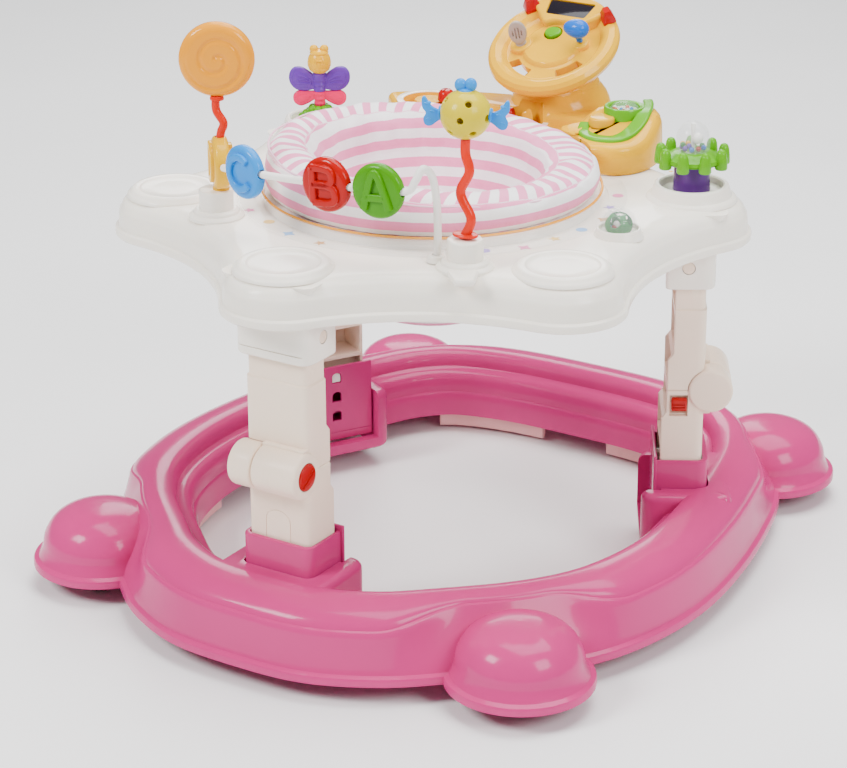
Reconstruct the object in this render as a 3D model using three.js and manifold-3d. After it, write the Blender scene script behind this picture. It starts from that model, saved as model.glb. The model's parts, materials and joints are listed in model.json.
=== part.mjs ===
// Baby walker: a wheeled base ring, three folding and height-adjustable legs, and a toy tray with a
// turning padded seat. Millimetres, +Z up, +Y is the walker's front. The origin is on the floor under
// the middle of the base.
import * as THREE from "three";
import { mergeVertices } from "three/addons/utils/BufferGeometryUtils.js";
import Module from "manifold-3d";

const wasm = await Module();
wasm.setup();

// ---- driving dimensions ----
const GAP = 0.4; // clearance between neighbouring pieces

const BASE_BOTTOM = 20;
const BASE_RING_STATIONS = 52;
// Right half of the base's outer edge, rear middle to front middle; the left half mirrors it.
const BASE_EDGE = [
  [0, -366], [74, -360], [140, -331], [192, -289], [250, -233], [292, -172], [315, -100],
  [322, -25], [315, 60], [299, 145], [276, 225], [238, 292], [182, 338], [100, 361], [0, 366],
];
// Base ring section as [distance inward from the outer edge, height].
const BASE_OUTSIDE = [
  [0, 20], [0, 28], [5, 32], [14, 68], [32, 83], [52, 88], [70, 84], [74, 71], [83, 68], [89, 58],
  [92, 20],
];
const BASE_INSIDE = [[9, 14], [9, 33], [18, 66], [52, 84], [68, 80], [71, 67], [84, 57], [88, 14]];

const DOME_RADIUS = 69;
const REAR_DOME = [241, -249];
const FRONT_DOME = [228, 297];
const CASTOR_TRAIL = 28;
const CASTOR_HEADING = -62; // degrees from +X in which every wheel trails
const WHEEL_RADIUS = 18;
const WHEEL_WIDTH = 18;
const STEM_RADIUS = 5;
const STEM_TOP = 66;

const HUB_Y = -15; // the tray's and the legs' common centre
const LEG_CIRCLE = 250;
const LEG_ANGLES = { rear: -90, right: 30, left: 150 };
const LEG_HALF_WIDTH = 35;
const LEG_HALF_DEPTH = 20;
const LEG_WALL = 3;
const LEG_PIVOT_Z = 60;
const KNEE_Z = 190;
const KNEE_OUT = 26; // how far the knee's axis lies outside the leg's middle
const TRAY_PIVOT_Z = 2 * KNEE_Z - LEG_PIVOT_Z;
const KNEE_RADIUS = 22;
const KNEE_SPLIT = 12; // where the lower leg's knuckle ends and the upper leg's begins
const LOWER_LEG_BOTTOM = 90;
const SLEEVE_TOP = 116;
const SLEEVE_HALF_WIDTH = 39;
const PANEL_HALF_WIDTH = 42;
const HEIGHT_STEP = 22;
const LATCH_Z = 108;
const POCKET_HALF_WIDTH = 44;

const LOBE_CIRCLE = 252;
const LOBE_RADIUS = 60;
const NOTCH_RADIUS = 250; // the outline's distance from the hub between two lobes
const TRAY_BOTTOM = 340;
const TRAY_TOP = 380;
const TRAY_WALL = 3;
const DISC_RADIUS = 41;
const SEAT_HOLE = 172;
const COLLAR_BOTTOM = 298;

const POST_Y = -165; // the two posts that carry the bead bar stand on this line
const POST_X = 139;
const POST_TOP = 407;
const BAR_RADIUS = 3.6;
const BEAD_BORE = 6.8; // loose enough to pass the bar's bends
const LOLLIPOP_RADIUS = 36;
const WHEEL_TILT = 30; // the steering wheel leans this far from level towards the seat
const WHEEL_CENTRE = [-2, 240, 472];

const rad = THREE.MathUtils.degToRad;

// ---- materials ----
const finish = (color, roughness = 0.3, opacity = 1) =>
  new THREE.MeshStandardMaterial({ color, roughness, metalness: 0, opacity, transparent: opacity < 1 });
const PINK = finish("#e878b0", 0.18);
const CREAM = finish("#f3ece2", 0.35);
const WHITE = finish("#f8f4ec", 0.25);
const RED = finish("#e02018");
const YELLOW = finish("#fdcb05", 0.22);
const ORANGE = finish("#f07018");
const GOLD = finish("#ffb010");
const BLUE = finish("#2e9fe0");
const LIME = finish("#7cc81e");
const GREEN = finish("#1ea848");
const PURPLE = finish("#7d50a0");
const VIOLET = finish("#8a50c8");
const KHAKI = finish("#d5d455");
const CLEAR = finish("#eef4f6", 0.05, 0.3);
const MAUVE = finish("#a87070", 0.5);
const GRIP = finish("#e4b4bc", 0.6);
const FABRIC = finish("#fbd3e4", 0.9);

// ---- geometry helpers; every shape becomes a closed solid ----
function signedVolume(position, index) {
  const [a, b, c] = [new THREE.Vector3(), new THREE.Vector3(), new THREE.Vector3()];
  let sum = 0;
  for (let i = 0; i < index.length; i += 3) {
    [a, b, c].forEach((v, k) => v.fromBufferAttribute(position, index[i + k]));
    sum += a.dot(b.cross(c));
  }
  return sum / 6;
}

function solid(geometry) {
  const bare = new THREE.BufferGeometry();
  bare.setAttribute("position", geometry.getAttribute("position"));
  if (geometry.index) bare.setIndex(geometry.index);
  const merged = mergeVertices(bare, 1e-3);
  const triangles = [];
  for (let i = 0; i < merged.index.count; i += 3) {
    const [a, b, c] = [0, 1, 2].map((k) => merged.index.getX(i + k));
    if (a !== b && b !== c && c !== a) triangles.push([a, b, c]);
  }
  const inward = signedVolume(merged.attributes.position, triangles.flat()) < 0;
  const triVerts = Uint32Array.from(triangles.flatMap((t) => (inward ? [t[0], t[2], t[1]] : t)));
  const vertProperties = Float32Array.from(merged.attributes.position.array);
  return new wasm.Manifold(new wasm.Mesh({ numProp: 3, vertProperties, triVerts }));
}

function toGeometry(body) {
  const mesh = body.getMesh();
  const geometry = new THREE.BufferGeometry();
  geometry.setAttribute("position", new THREE.BufferAttribute(Float32Array.from(mesh.vertProperties), 3));
  geometry.setIndex(new THREE.BufferAttribute(Uint32Array.from(mesh.triVerts), 1));
  geometry.computeVertexNormals();
  return geometry;
}

const join = (...bodies) => bodies.reduce((all, body) => all.add(body));
const cut = (body, ...tools) => tools.reduce((all, tool) => all.subtract(tool), body);

// A box between two corners.
function block(low, high) {
  const size = high.map((v, k) => v - low[k]);
  const geometry = new THREE.BoxGeometry(...size);
  geometry.translate(...low.map((v, k) => v + size[k] / 2));
  return solid(geometry);
}

// A cylinder along X, Y or Z from one coordinate to another, centred on the other two.
function rod(axis, radius, from, to, centre, sides = 16) {
  const geometry = new THREE.CylinderGeometry(radius, radius, to - from, sides);
  const middle = (from + to) / 2;
  if (axis === "x") geometry.rotateZ(Math.PI / 2).translate(middle, centre[0], centre[1]);
  if (axis === "y") geometry.translate(centre[0], middle, centre[1]);
  if (axis === "z") geometry.rotateX(Math.PI / 2).translate(centre[0], centre[1], middle);
  return solid(geometry);
}

// A profile of [radius, height] turned about the vertical line through [x, y].
function turned(profile, [x, y] = [0, 0], sides = 24) {
  const points = profile.map(([r, z]) => new THREE.Vector2(r, z));
  return solid(new THREE.LatheGeometry(points, sides).rotateX(Math.PI / 2).translate(x, y, 0));
}

// The same profile closed on itself, for rings that don't reach the axis.
const turnedRing = (profile, at, sides) => turned([...profile, profile[0]], at, sides);

function ball(radius, [x, y, z], stretch = [1, 1, 1], sides = 12) {
  const geometry = new THREE.SphereGeometry(radius, sides, Math.ceil(sides * 0.6));
  return solid(geometry.rotateX(Math.PI / 2).scale(...stretch).translate(x, y, z));
}

// A flat outline of [x, y] points raised from one height to another.
function prism(points, low, high, placed = (geometry) => geometry) {
  const shape = new THREE.Shape(points.map(([x, y]) => new THREE.Vector2(x, y)));
  const geometry = new THREE.ExtrudeGeometry(shape, { depth: high - low, bevelEnabled: false });
  return solid(placed(geometry.translate(0, 0, low)));
}

function circle(radius, [x, y] = [0, 0], sides = 24, from = 0, to = 360) {
  const whole = to - from === 360;
  return Array.from({ length: whole ? sides : sides + 1 }, (_, i) => {
    const a = rad(from + ((to - from) * i) / sides);
    return [x + radius * Math.cos(a), y + radius * Math.sin(a)];
  });
}

// A round bar along a smooth curve through points.
function tube(points, radius, steps, sides = 8) {
  const path = new THREE.CatmullRomCurve3(points.map((p) => new THREE.Vector3(...p)));
  const shape = new THREE.Shape(circle(radius, [0, 0], sides).map(([x, y]) => new THREE.Vector2(x, y)));
  return solid(new THREE.ExtrudeGeometry(shape, { steps, extrudePath: path, bevelEnabled: false }));
}

// Skins closed rings of points, all with the same count, and closes the two flat ends.
function skin(rings, closed = false) {
  const count = rings[0].length;
  const index = [];
  const last = closed ? rings.length : rings.length - 1;
  for (let r = 0; r < last; r += 1) {
    for (let i = 0; i < count; i += 1) {
      const [a, b] = [r * count + i, r * count + ((i + 1) % count)];
      const [c, d] = [((r + 1) % rings.length) * count + i, ((r + 1) % rings.length) * count + ((i + 1) % count)];
      index.push(a, b, d, a, d, c);
    }
  }
  if (!closed) {
    for (const [ring, start, flip] of [[rings[0], 0, true], [rings.at(-1), (rings.length - 1) * count, false]]) {
      for (const [a, b, c] of THREE.ShapeUtils.triangulateShape(flatten(ring), [])) {
        index.push(...(flip ? [a, c, b] : [a, b, c]).map((v) => v + start));
      }
    }
  }
  const geometry = new THREE.BufferGeometry();
  geometry.setAttribute("position", new THREE.Float32BufferAttribute(rings.flat(2), 3));
  return solid(geometry.setIndex(index));
}

// Lays a flat ring of 3-D points out in its own plane, keeping its turning sense.
function flatten(ring) {
  const points = ring.map((p) => new THREE.Vector3(...p));
  const normal = new THREE.Vector3();
  points.forEach((p, i) => normal.add(p.clone().cross(points[(i + 1) % points.length])));
  const u = points[1].clone().sub(points[0]).normalize();
  const v = normal.normalize().clone().cross(u);
  return points.map((p) => new THREE.Vector2(p.dot(u), p.dot(v)));
}

function part(name, body, material, parent) {
  const mesh = new THREE.Mesh(toGeometry(body), material);
  mesh.name = name;
  parent.add(mesh);
  return mesh;
}

// ---- base ----
function baseStations() {
  const left = BASE_EDGE.slice(1, -1).reverse().map(([x, y]) => [-x, y]);
  const points = [...BASE_EDGE, ...left].map(([x, y]) => new THREE.Vector3(x, y, 0));
  const curve = new THREE.CatmullRomCurve3(points, true, "centripetal");
  return Array.from({ length: BASE_RING_STATIONS }, (_, i) => {
    const at = curve.getPointAt(i / BASE_RING_STATIONS);
    const along = curve.getTangentAt(i / BASE_RING_STATIONS);
    return { at, inward: new THREE.Vector3(-along.y, along.x, 0) };
  });
}

const STATIONS = baseStations();

const section = (station, profile) =>
  profile.map(([inset, z]) => {
    const p = station.at.clone().addScaledVector(station.inward, inset);
    return [p.x, p.y, z];
  });

const sweptRing = (profile) => skin(STATIONS.map((s) => section(s, profile)), true);

function legPoint(angle, out, side, z) {
  const a = rad(angle);
  const r = LEG_CIRCLE + out;
  return [r * Math.cos(a) + side * Math.sin(a), HUB_Y + r * Math.sin(a) - side * Math.cos(a), z];
}

// A block in a leg's own frame: side runs along the tray's edge, out runs away from the hub.
function legBlock(angle, [side0, out0, z0], [side1, out1, z1]) {
  const corners = [[side0, out0], [side1, out0], [side1, out1], [side0, out1]];
  return skin([z0, z1].map((z) => corners.map(([s, o]) => legPoint(angle, o, s, z))));
}

function legRod(angle, radius, from, to, out, z, sides = 16) {
  const ring = (side) => circle(radius, [out, z], sides).map(([o, h]) => legPoint(angle, o, side, h));
  return skin([ring(from), ring(to)]);
}

const domes = (profile, sides) =>
  [REAR_DOME, FRONT_DOME].flatMap(([x, y]) => [turned(profile, [x, y], sides), turned(profile, [-x, y], sides)]);

function baseShell() {
  const skirt = [[0, 20], [69, 20], [69, 28], [64, 32], [60, 50], [48, 66], [28, 76], [0, 79]];
  const hollow = [[0, 14], [60, 14], [60, 33], [54, 49], [42, 63], [24, 72], [0, 75]];
  const angles = Object.values(LEG_ANGLES);
  const bosses = angles.map((a) => legBlock(a, [-62, -42, BASE_BOTTOM], [62, 30, 84]));
  const wells = angles.map((a) => legBlock(a, [-59, -39, 14], [59, 27, 81]));
  const jackets = angles.map((a) => legBlock(a, [-POCKET_HALF_WIDTH - 3, -42, BASE_BOTTOM], [POCKET_HALF_WIDTH + 3, 33, 84]));
  const pockets = angles.flatMap((a) => [
    legBlock(a, [-POCKET_HALF_WIDTH, -29, 14], [POCKET_HALF_WIDTH, 30, 120]),
    legBlock(a, [-POCKET_HALF_WIDTH, -60, 34], [POCKET_HALF_WIDTH, 0, 120]),
    legRod(a, 5.4, -POCKET_HALF_WIDTH - 5, POCKET_HALF_WIDTH + 5, 0, LEG_PIVOT_Z, 10),
  ]);
  const outside = join(sweptRing(BASE_OUTSIDE), ...domes(skirt, 20), ...bosses);
  const inside = join(sweptRing(BASE_INSIDE), ...domes(hollow, 12), ...wells);
  const shell = join(cut(outside, inside), outside.intersect(join(...jackets)));
  const stemBosses = castorCentres().map(([, x, y]) => rod("z", 12, 44, 77, [x, y], 10));
  const bores = castorCentres().map(([, x, y]) => rod("z", STEM_RADIUS + GAP, 40, STEM_TOP + 1, [x, y], 10));
  return cut(join(shell, ...stemBosses), ...pockets, ...bores);
}

const castorCentres = () => [
  ["rear_left", -REAR_DOME[0], REAR_DOME[1]],
  ["rear_right", REAR_DOME[0], REAR_DOME[1]],
  ["front_left", -FRONT_DOME[0], FRONT_DOME[1]],
  ["front_right", FRONT_DOME[0], FRONT_DOME[1]],
];

// A grip strip that hangs just inside the base's inner wall between two polar angles.
function gripPad(from, to) {
  const polar = ({ at }) => (THREE.MathUtils.radToDeg(Math.atan2(at.y, at.x)) + 360) % 360;
  const profile = [[78, 4], [85, 4], [85, 38], [78, 38]];
  const chosen = STATIONS.filter((s) => polar(s) >= from && polar(s) <= to);
  return skin(chosen.map((s) => section(s, profile)));
}

function addBase(parent) {
  part("base_shell", baseShell(), PINK, parent);
  part("grip_pad_front_left", gripPad(93, 124), GRIP, parent);
  part("grip_pad_front_right", gripPad(56, 87), GRIP, parent);
  part("grip_pad_left", gripPad(193, 222), GRIP, parent);
  part("grip_pad_right", gripPad(318, 347), GRIP, parent);
}

// ---- castors: own frame at the swivel axis, wheel trailing along +X ----
function castorFork() {
  const cheek = [[-9, 40], [10, 40], [33, 24], [34, 14], [24, 12], [-9, 33]];
  const upright = (geometry) => geometry.rotateX(Math.PI / 2);
  const half = WHEEL_WIDTH / 2;
  return join(
    rod("z", STEM_RADIUS, 38, STEM_TOP, [0, 0], 10),
    rod("z", 14, 37, 40, [0, 0], 12),
    prism(cheek, half + 1, half + 4, upright),
    prism(cheek, -half - 4, -half - 1, upright),
    rod("y", 3, -half - 3, half + 3, [CASTOR_TRAIL, WHEEL_RADIUS], 8),
  );
}

function castorWheel() {
  const half = WHEEL_WIDTH / 2;
  const tread = [[3.4, -half], [WHEEL_RADIUS, -half], [WHEEL_RADIUS, half], [3.4, half]];
  const points = [...tread, tread[0]].map(([r, z]) => new THREE.Vector2(r, z));
  return solid(new THREE.LatheGeometry(points, 20).translate(CASTOR_TRAIL, 0, WHEEL_RADIUS));
}

function addCastors(parent) {
  for (const [place, x, y] of castorCentres()) {
    const group = new THREE.Group();
    group.position.set(x, y, 0);
    group.rotation.z = rad(CASTOR_HEADING);
    part(`castor_fork_${place}`, castorFork(), MAUVE, group);
    part(`castor_wheel_${place}`, castorWheel(), MAUVE, group);
    parent.add(group);
  }
}

// ---- legs: own frame with X along the tray's edge, Y outward, Z up ----
const kneeRod = (from, to, radius) => rod("x", radius, from, to, [KNEE_OUT, KNEE_Z], 16);

function sleeve() {
  const [half, wall] = [SLEEVE_HALF_WIDTH, 3.2];
  const outer = block([-half, -27.9, 43], [half, 26, SLEEVE_TOP]);
  const inner = block([-half + wall, -25, 40], [half - wall, LEG_HALF_DEPTH + 1, 130]);
  const panel = block([-PANEL_HALF_WIDTH, -28, 36], [PANEL_HALF_WIDTH, -25, 121]);
  const floor = block([-half + 1, -26, 43], [half - 1, LEG_HALF_DEPTH + 0.9, 45]);
  const swingRoom = block([-half - 5, LEG_HALF_DEPTH + 0.9, 40], [half + 5, 30, 50]);
  const slots = [0, 1, 2].map((i) => {
    const z = LATCH_Z - i * HEIGHT_STEP;
    return block([-5.5, -30, z - 5.5], [5.5, -20, z + 5.5]);
  });
  const trunnions = [[-48, -36], [36, 48]].map(([from, to]) => rod("x", 5, from, to, [0, LEG_PIVOT_Z], 10));
  return cut(join(cut(outer, inner), floor, panel, ...trunnions), swingRoom, ...slots);
}

function lowerLeg() {
  const top = KNEE_Z - GAP / 2;
  const body = block([-LEG_HALF_WIDTH, -LEG_HALF_DEPTH, LOWER_LEG_BOTTOM], [LEG_HALF_WIDTH, LEG_HALF_DEPTH, top]);
  const inner = LEG_HALF_WIDTH - LEG_WALL;
  const bays = [[LOWER_LEG_BOTTOM - 5, 128], [131, 164], [167, top - 4]].map(([z0, z1]) =>
    block([-inner, -40, z0], [inner, LEG_HALF_DEPTH - LEG_WALL, z1]));
  const latchPlate = block([-inner - 1, -8.6, LOWER_LEG_BOTTOM + 3], [inner + 1, -6, 129]);
  const knuckle = kneeRod(KNEE_SPLIT + GAP, 38, KNEE_RADIUS);
  const web = block([KNEE_SPLIT + GAP, 10, KNEE_Z - 26], [LEG_HALF_WIDTH, KNEE_OUT, KNEE_Z - 8]);
  return cut(
    join(cut(body, ...bays), latchPlate, knuckle, web),
    kneeRod(-45, KNEE_SPLIT + GAP, KNEE_RADIUS + 0.8),
    kneeRod(-45, 32, 6.5),
    rod("y", 3, -20, 0, [0, LATCH_Z], 8),
    block([LEG_HALF_WIDTH - 4, -14, 163], [LEG_HALF_WIDTH + 2, 4, 185.4]),
  );
}

function upperLeg() {
  const [bottom, pivot] = [KNEE_Z + GAP / 2, TRAY_PIVOT_Z];
  const body = join(
    block([-LEG_HALF_WIDTH, -LEG_HALF_DEPTH, bottom], [LEG_HALF_WIDTH, LEG_HALF_DEPTH, pivot]),
    rod("x", LEG_HALF_DEPTH, -LEG_HALF_WIDTH, LEG_HALF_WIDTH, [0, pivot], 16),
  );
  const inner = LEG_HALF_WIDTH - LEG_WALL;
  const bays = [[bottom + 4, 228], [231, 268], [271, pivot - 8]].map(([z0, z1]) =>
    block([-inner, -40, z0], [inner, LEG_HALF_DEPTH - LEG_WALL, z1]));
  const knuckle = kneeRod(-38, KNEE_SPLIT - GAP, KNEE_RADIUS);
  const web = block([-LEG_HALF_WIDTH, 10, KNEE_Z + 8], [KNEE_SPLIT - GAP, KNEE_OUT, KNEE_Z + 26]);
  const trunnions = rod("x", 6, -40.5, 40.5, [0, pivot], 10);
  return cut(
    join(cut(body, ...bays), knuckle, web, trunnions),
    kneeRod(KNEE_SPLIT - GAP, 45, KNEE_RADIUS + 0.8),
    kneeRod(-45, 45, 6.5),
    kneeRod(-45, -28, 13.6),
  );
}

const kneeLockPin = () => join(kneeRod(-39.5, -34, 13), kneeRod(-34.2, 26, 6));

const latchTab = () => block([31.6, -13, 169.5], [39, 3, 182.5]);

function heightLatch() {
  const button = block([-4.8, -24.5, LATCH_Z - 4.8], [4.8, -13, LATCH_Z + 4.8]);
  return join(button, rod("y", 2.5, -13.2, -2, [0, LATCH_Z], 8));
}

function addLegs(parent) {
  for (const [place, angle] of Object.entries(LEG_ANGLES)) {
    const group = new THREE.Group();
    group.position.set(LEG_CIRCLE * Math.cos(rad(angle)), HUB_Y + LEG_CIRCLE * Math.sin(rad(angle)), 0);
    group.rotation.z = rad(angle - 90);
    part(`leg_sleeve_${place}`, sleeve(), PINK, group);
    part(`lower_leg_${place}`, lowerLeg(), CREAM, group);
    part(`upper_leg_${place}`, upperLeg(), CREAM, group);
    part(`knee_lock_pin_${place}`, kneeLockPin(), RED, group);
    part(`latch_tab_${place}`, latchTab(), RED, group);
    part(`height_latch_${place}`, heightLatch(), WHITE, group);
    parent.add(group);
  }
}

// ---- tray: the hub frame has its origin on the floor under the tray's centre ----
// Six round lobes joined by hollow arcs that are tangent to them; an inset keeps every centre.
function trayOutline(inset) {
  const [along, across] = [LOBE_CIRCLE * Math.cos(rad(30)), LOBE_CIRCLE * Math.sin(rad(30))];
  const lead = NOTCH_RADIUS - along;
  const hollow = (lead ** 2 + across ** 2 - LOBE_RADIUS ** 2) / (2 * (LOBE_RADIUS - lead));
  const far = NOTCH_RADIUS + hollow;
  const swing = THREE.MathUtils.radToDeg(Math.atan2(far * Math.sin(rad(30)), far * Math.cos(rad(30)) - LOBE_CIRCLE));
  const points = [];
  for (let lobe = -90; lobe < 270; lobe += 60) {
    const centre = [LOBE_CIRCLE * Math.cos(rad(lobe)), LOBE_CIRCLE * Math.sin(rad(lobe))];
    const between = [far * Math.cos(rad(lobe + 30)), far * Math.sin(rad(lobe + 30))];
    points.push(...circle(LOBE_RADIUS - inset, centre, 8, lobe - swing, lobe + swing));
    const facing = lobe + 30 + 180;
    const half = swing - 30;
    points.push(...circle(hollow + inset, between, 3, facing + half, facing - half).slice(1, -1));
  }
  return points;
}

const trayLayer = ([inset, z]) => trayOutline(inset).map(([x, y]) => [x, y, z]);

// Part of a flat ring between two radii and two polar angles.
const sector = (inner, outer, from, to, steps = 12) =>
  [...circle(outer, [0, 0], steps, from, to), ...circle(inner, [0, 0], steps, to, from)];

function postAt(x, y, radius, top) {
  return turned([[0, TRAY_TOP - 2], [radius + 7, TRAY_TOP - 2], [radius + 5, TRAY_TOP + 4], [radius, TRAY_TOP + 6], [radius, top], [0, top]], [x, y], 12);
}

function legCollar(angle) {
  const local = (low, high) => {
    const corners = [[low[0], low[1]], [high[0], low[1]], [high[0], high[1]], [low[0], high[1]]];
    return skin([low[2], high[2]].map((z) => corners.map(([s, o]) => {
      const [x, y] = legPoint(angle, o, s, z);
      return [x, y - HUB_Y, z];
    })));
  };
  const ring = (side) => circle(6.5, [0, TRAY_PIVOT_Z], 10).map(([o, h]) => {
    const [x, y] = legPoint(angle, o, side, h);
    return [x, y - HUB_Y, h];
  });
  return {
    walls: local([-41, -22, COLLAR_BOTTOM], [41, 27, TRAY_TOP - 1]),
    room: local([-35.6, -60, COLLAR_BOTTOM - 5], [35.6, LEG_HALF_DEPTH + 1, TRAY_PIVOT_Z + 23]),
    bore: skin([ring(-45), ring(45)]),
  };
}

function trayShell() {
  const outside = skin([[1, TRAY_BOTTOM], [0, TRAY_BOTTOM + 5], [3, TRAY_BOTTOM + 9], [5, 370], [11, 377], [24, TRAY_TOP]].map(trayLayer));
  const inside = skin([[4.5, TRAY_BOTTOM - 5], [7, 349], [8.5, 368], [14, 373.5], [27, TRAY_TOP - TRAY_WALL]].map(trayLayer));
  const collars = Object.values(LEG_ANGLES).map(legCollar);
  const ledge = turnedRing([[158, 364], [176, 364], [176, TRAY_TOP - 1], [SEAT_HOLE, TRAY_TOP - 1], [SEAT_HOLE, 367.6], [158, 367.6]], [0, 0], 36);
  const discs = [-90, -30, 210].map((a) => {
    const at = [LOBE_CIRCLE * Math.cos(rad(a)), LOBE_CIRCLE * Math.sin(rad(a))];
    return turned([[0, TRAY_TOP - 2], [46, TRAY_TOP - 2], [43, 383], [DISC_RADIUS, 385.6], [34, 385.6], [32, 384], [0, 384]], at, 20);
  });
  const seats = [30, 150].map((a) => {
    const at = [LOBE_CIRCLE * Math.cos(rad(a)), LOBE_CIRCLE * Math.sin(rad(a))];
    const rim = [[0, TRAY_TOP - 2], [42, TRAY_TOP - 2], [37, 386], [34, 394], [30, 394], [28, 387], [0, 387]];
    return turned(rim, at, 20);
  });
  const posts = [postAt(-POST_X, POST_Y, 17, POST_TOP), postAt(POST_X, POST_Y, 17, POST_TOP)];
  const cup = [[0, TRAY_TOP - 2], [22, TRAY_TOP - 2], [20.5, 387], [18.4, 387], [18.4, 383], [0, 383]];
  const ballSeat = turned(cup, BALL_AT, 16);
  return cut(
    join(cut(outside, inside), ...collars.map((c) => c.walls), ...discs, ...seats, ...posts, ballSeat).add(ledge),
    rod("z", SEAT_HOLE, 367.6, 420, [0, 0], 36),
    rod("z", 158, 350, 420, [0, 0], 36),
    ...collars.flatMap((c) => [c.room, c.bore]),
    rod("z", BAR_RADIUS + 2 * GAP, TRAY_TOP - 6, 388, BAR_FOOT, 10),
  );
}

const BALL_AT = [213, -12];

function seatPad() {
  const profile = [
    [0, 258], [48, 260], [78, 272], [98, 304], [118, 330], [138, 358], [147, 380], [147, 388.6],
    [159, 388.6], [165, 402], [162, 428], [148, 440], [130, 440], [115, 424], [108, 390],
    [84, 322], [74, 296], [52, 282], [0, 278],
  ];
  const bowl = turned(profile, [0, 0], 28);
  const legHole = (side) => {
    const geometry = new THREE.CylinderGeometry(38, 44, 130, 12);
    geometry.rotateX(rad(-50)).rotateZ(rad(side * 32)).translate(-side * 48, 62, 292);
    return solid(geometry);
  };
  return cut(bowl, legHole(1), legHole(-1));
}

function addSeat(tray) {
  const window = [[190, 380.5], [190, 382.5], [168, 391.5], [166, 390], [186, 380.5]];
  const underPlayCentre = prism(sector(150, 210, 42, 138), 370, 400);
  part("window_ring", cut(turnedRing(window, [0, 0], 36), underPlayCentre), CLEAR, tray);
  const ring = [[150, 368], [171, 368], [171, 375], [164, 375], [164, 388], [150, 388]];
  part("seat_ring", turnedRing(ring, [0, 0], 36), WHITE, tray);
  part("seat_pad", seatPad(), FABRIC, tray);
}

// ---- toys on the tray ----
// The bead bar bows out over the tray's edge, humps up and comes down into the tray.
const BAR_START = [-115.6, -182.8, 436];
const BAR_FOOT = [110, -167];
const BAR_ROUTE = [
  BAR_START, [-98, -193, 440], [-76, -201, 443.5], [-28, -210, 448], [22, -213, 451.5],
  [76, -211, 454], [104, -207, 457], [111, -204, 467], [115, -198, 477], [119, -189, 468],
  [117, -178, 440], [112, -168.5, 405], [...BAR_FOOT, TRAY_TOP - 4],
];
const DISC_HALF = 9;
const DISC_SIZE = 25.5;
const BEADS = { letter_bead_c: [0.118, BLUE], letter_bead_b: [0.398, RED], letter_bead_a: [0.548, LIME] };

function letterDisc(bore) {
  const disc = rod("y", DISC_SIZE, -DISC_HALF, DISC_HALF, [0, 0], 18);
  return cut(disc, rod("x", bore, -40, 40, [0, 0], 8));
}

function placed(mesh, [x, y, z], heading) {
  mesh.position.set(x, y, z);
  mesh.rotation.z = rad(heading);
}

function addBeads(tray) {
  part("bead_bar", tube(BAR_ROUTE, BAR_RADIUS, 26), WHITE, tray);
  const curve = new THREE.CatmullRomCurve3(BAR_ROUTE.map((p) => new THREE.Vector3(...p)));
  for (const [name, [share, material]] of Object.entries(BEADS)) {
    const bead = part(name, letterDisc(BEAD_BORE), material, tray);
    const along = curve.getTangentAt(share);
    bead.position.copy(curve.getPointAt(share));
    bead.rotation.set(0, -Math.asin(along.z), Math.atan2(along.y, along.x), "ZYX");
  }
  const block = cut(rod("y", DISC_SIZE, -11, 11, [0, 0], 18), rod("z", 6.6, 20, 40, [0, 0], 10));
  placed(part("letter_block_d", block, YELLOW, tray), [-134, -163, 433.4], -48);
}

function addLollipop(tray) {
  const wave = [[0, 456], [2, 464], [5, 473], [-3, 484], [-3, 496]];
  const [x, y] = [-134, -163];
  part("lollipop_stalk", tube(wave.map(([dx, z]) => [x + dx, y, z]), 4, 10), ORANGE, tray);
  const disc = rod("y", LOLLIPOP_RADIUS, -8, 8, [0, 0], 24);
  placed(part("lollipop", disc, GOLD, tray), [x - 2, y + 2, 497 + LOLLIPOP_RADIUS], 32);
}

function addFish(tray) {
  const wave = [[0, POST_TOP + 2], [6, 427], [-5, 449], [4, 470], [0, 486], [0, 499]];
  const stalk = tube(wave.map(([x, z]) => [POST_X + x, POST_Y, z]), 4.5, 16);
  part("fish_stalk", join(stalk, rod("z", 10, POST_TOP + 3, POST_TOP + 6, [POST_X, POST_Y])), ORANGE, tray);
  const body = join(
    ball(23, [POST_X, POST_Y, 523], [1, 1, 1], 12),
    ...[1, -1].map((s) => ball(6.5, [POST_X + s * 4.6, POST_Y, 549], [1, 1, 1], 8)),
    ...[1, -1].map((s) => ball(14, [POST_X + s * 28, POST_Y, 523], [0.8, 0.3, 1], 8)),
  );
  part("fish", cut(body, rod("z", 5, 490, 506, [POST_X, POST_Y], 12)), KHAKI, tray);
}

const lobePoint = (angle) => [LOBE_CIRCLE * Math.cos(rad(angle)), LOBE_CIRCLE * Math.sin(rad(angle))];

// A flat outline in the X-Z plane, thickened about the Y = 0 plane.
const upright = (points, half) => prism(points, -half, half, (g) => g.rotateX(Math.PI / 2));

function butterflyBody() {
  const trunk = [[0, 398], [3.5, 398], [3.5, 406], [7, 412], [7.5, 434], [6, 441], [11, 445], [12, 452], [10, 461], [6, 466], [0, 467]];
  const wings = [1, -1].flatMap((s) => [
    upright(circle(13, [s * 18.6, 434], 12), 4),
    upright(circle(9, [s * 17, 415], 10), 3.4),
    upright([[s * 1, 462], [s * 8, 460], [s * 9, 468], [s * 3, 470]], 3),
  ]);
  return join(turned(trunk, [0, 0], 12), ...wings);
}

function addButterfly(tray) {
  const [x, y] = lobePoint(150);
  const mound = turned([[0, 387.4], [22, 387.4], [21, 394], [13, 403], [6, 406], [0, 406]], [x, y], 16);
  part("grass_mound", cut(mound, rod("z", 4, 396, 410, [x, y], 10)), LIME, tray);
  const mesh = part("butterfly", butterflyBody(), VIOLET, tray);
  mesh.position.set(x, y, 0);
  mesh.rotation.z = rad(33);
}

const PETALS = 9;

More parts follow.
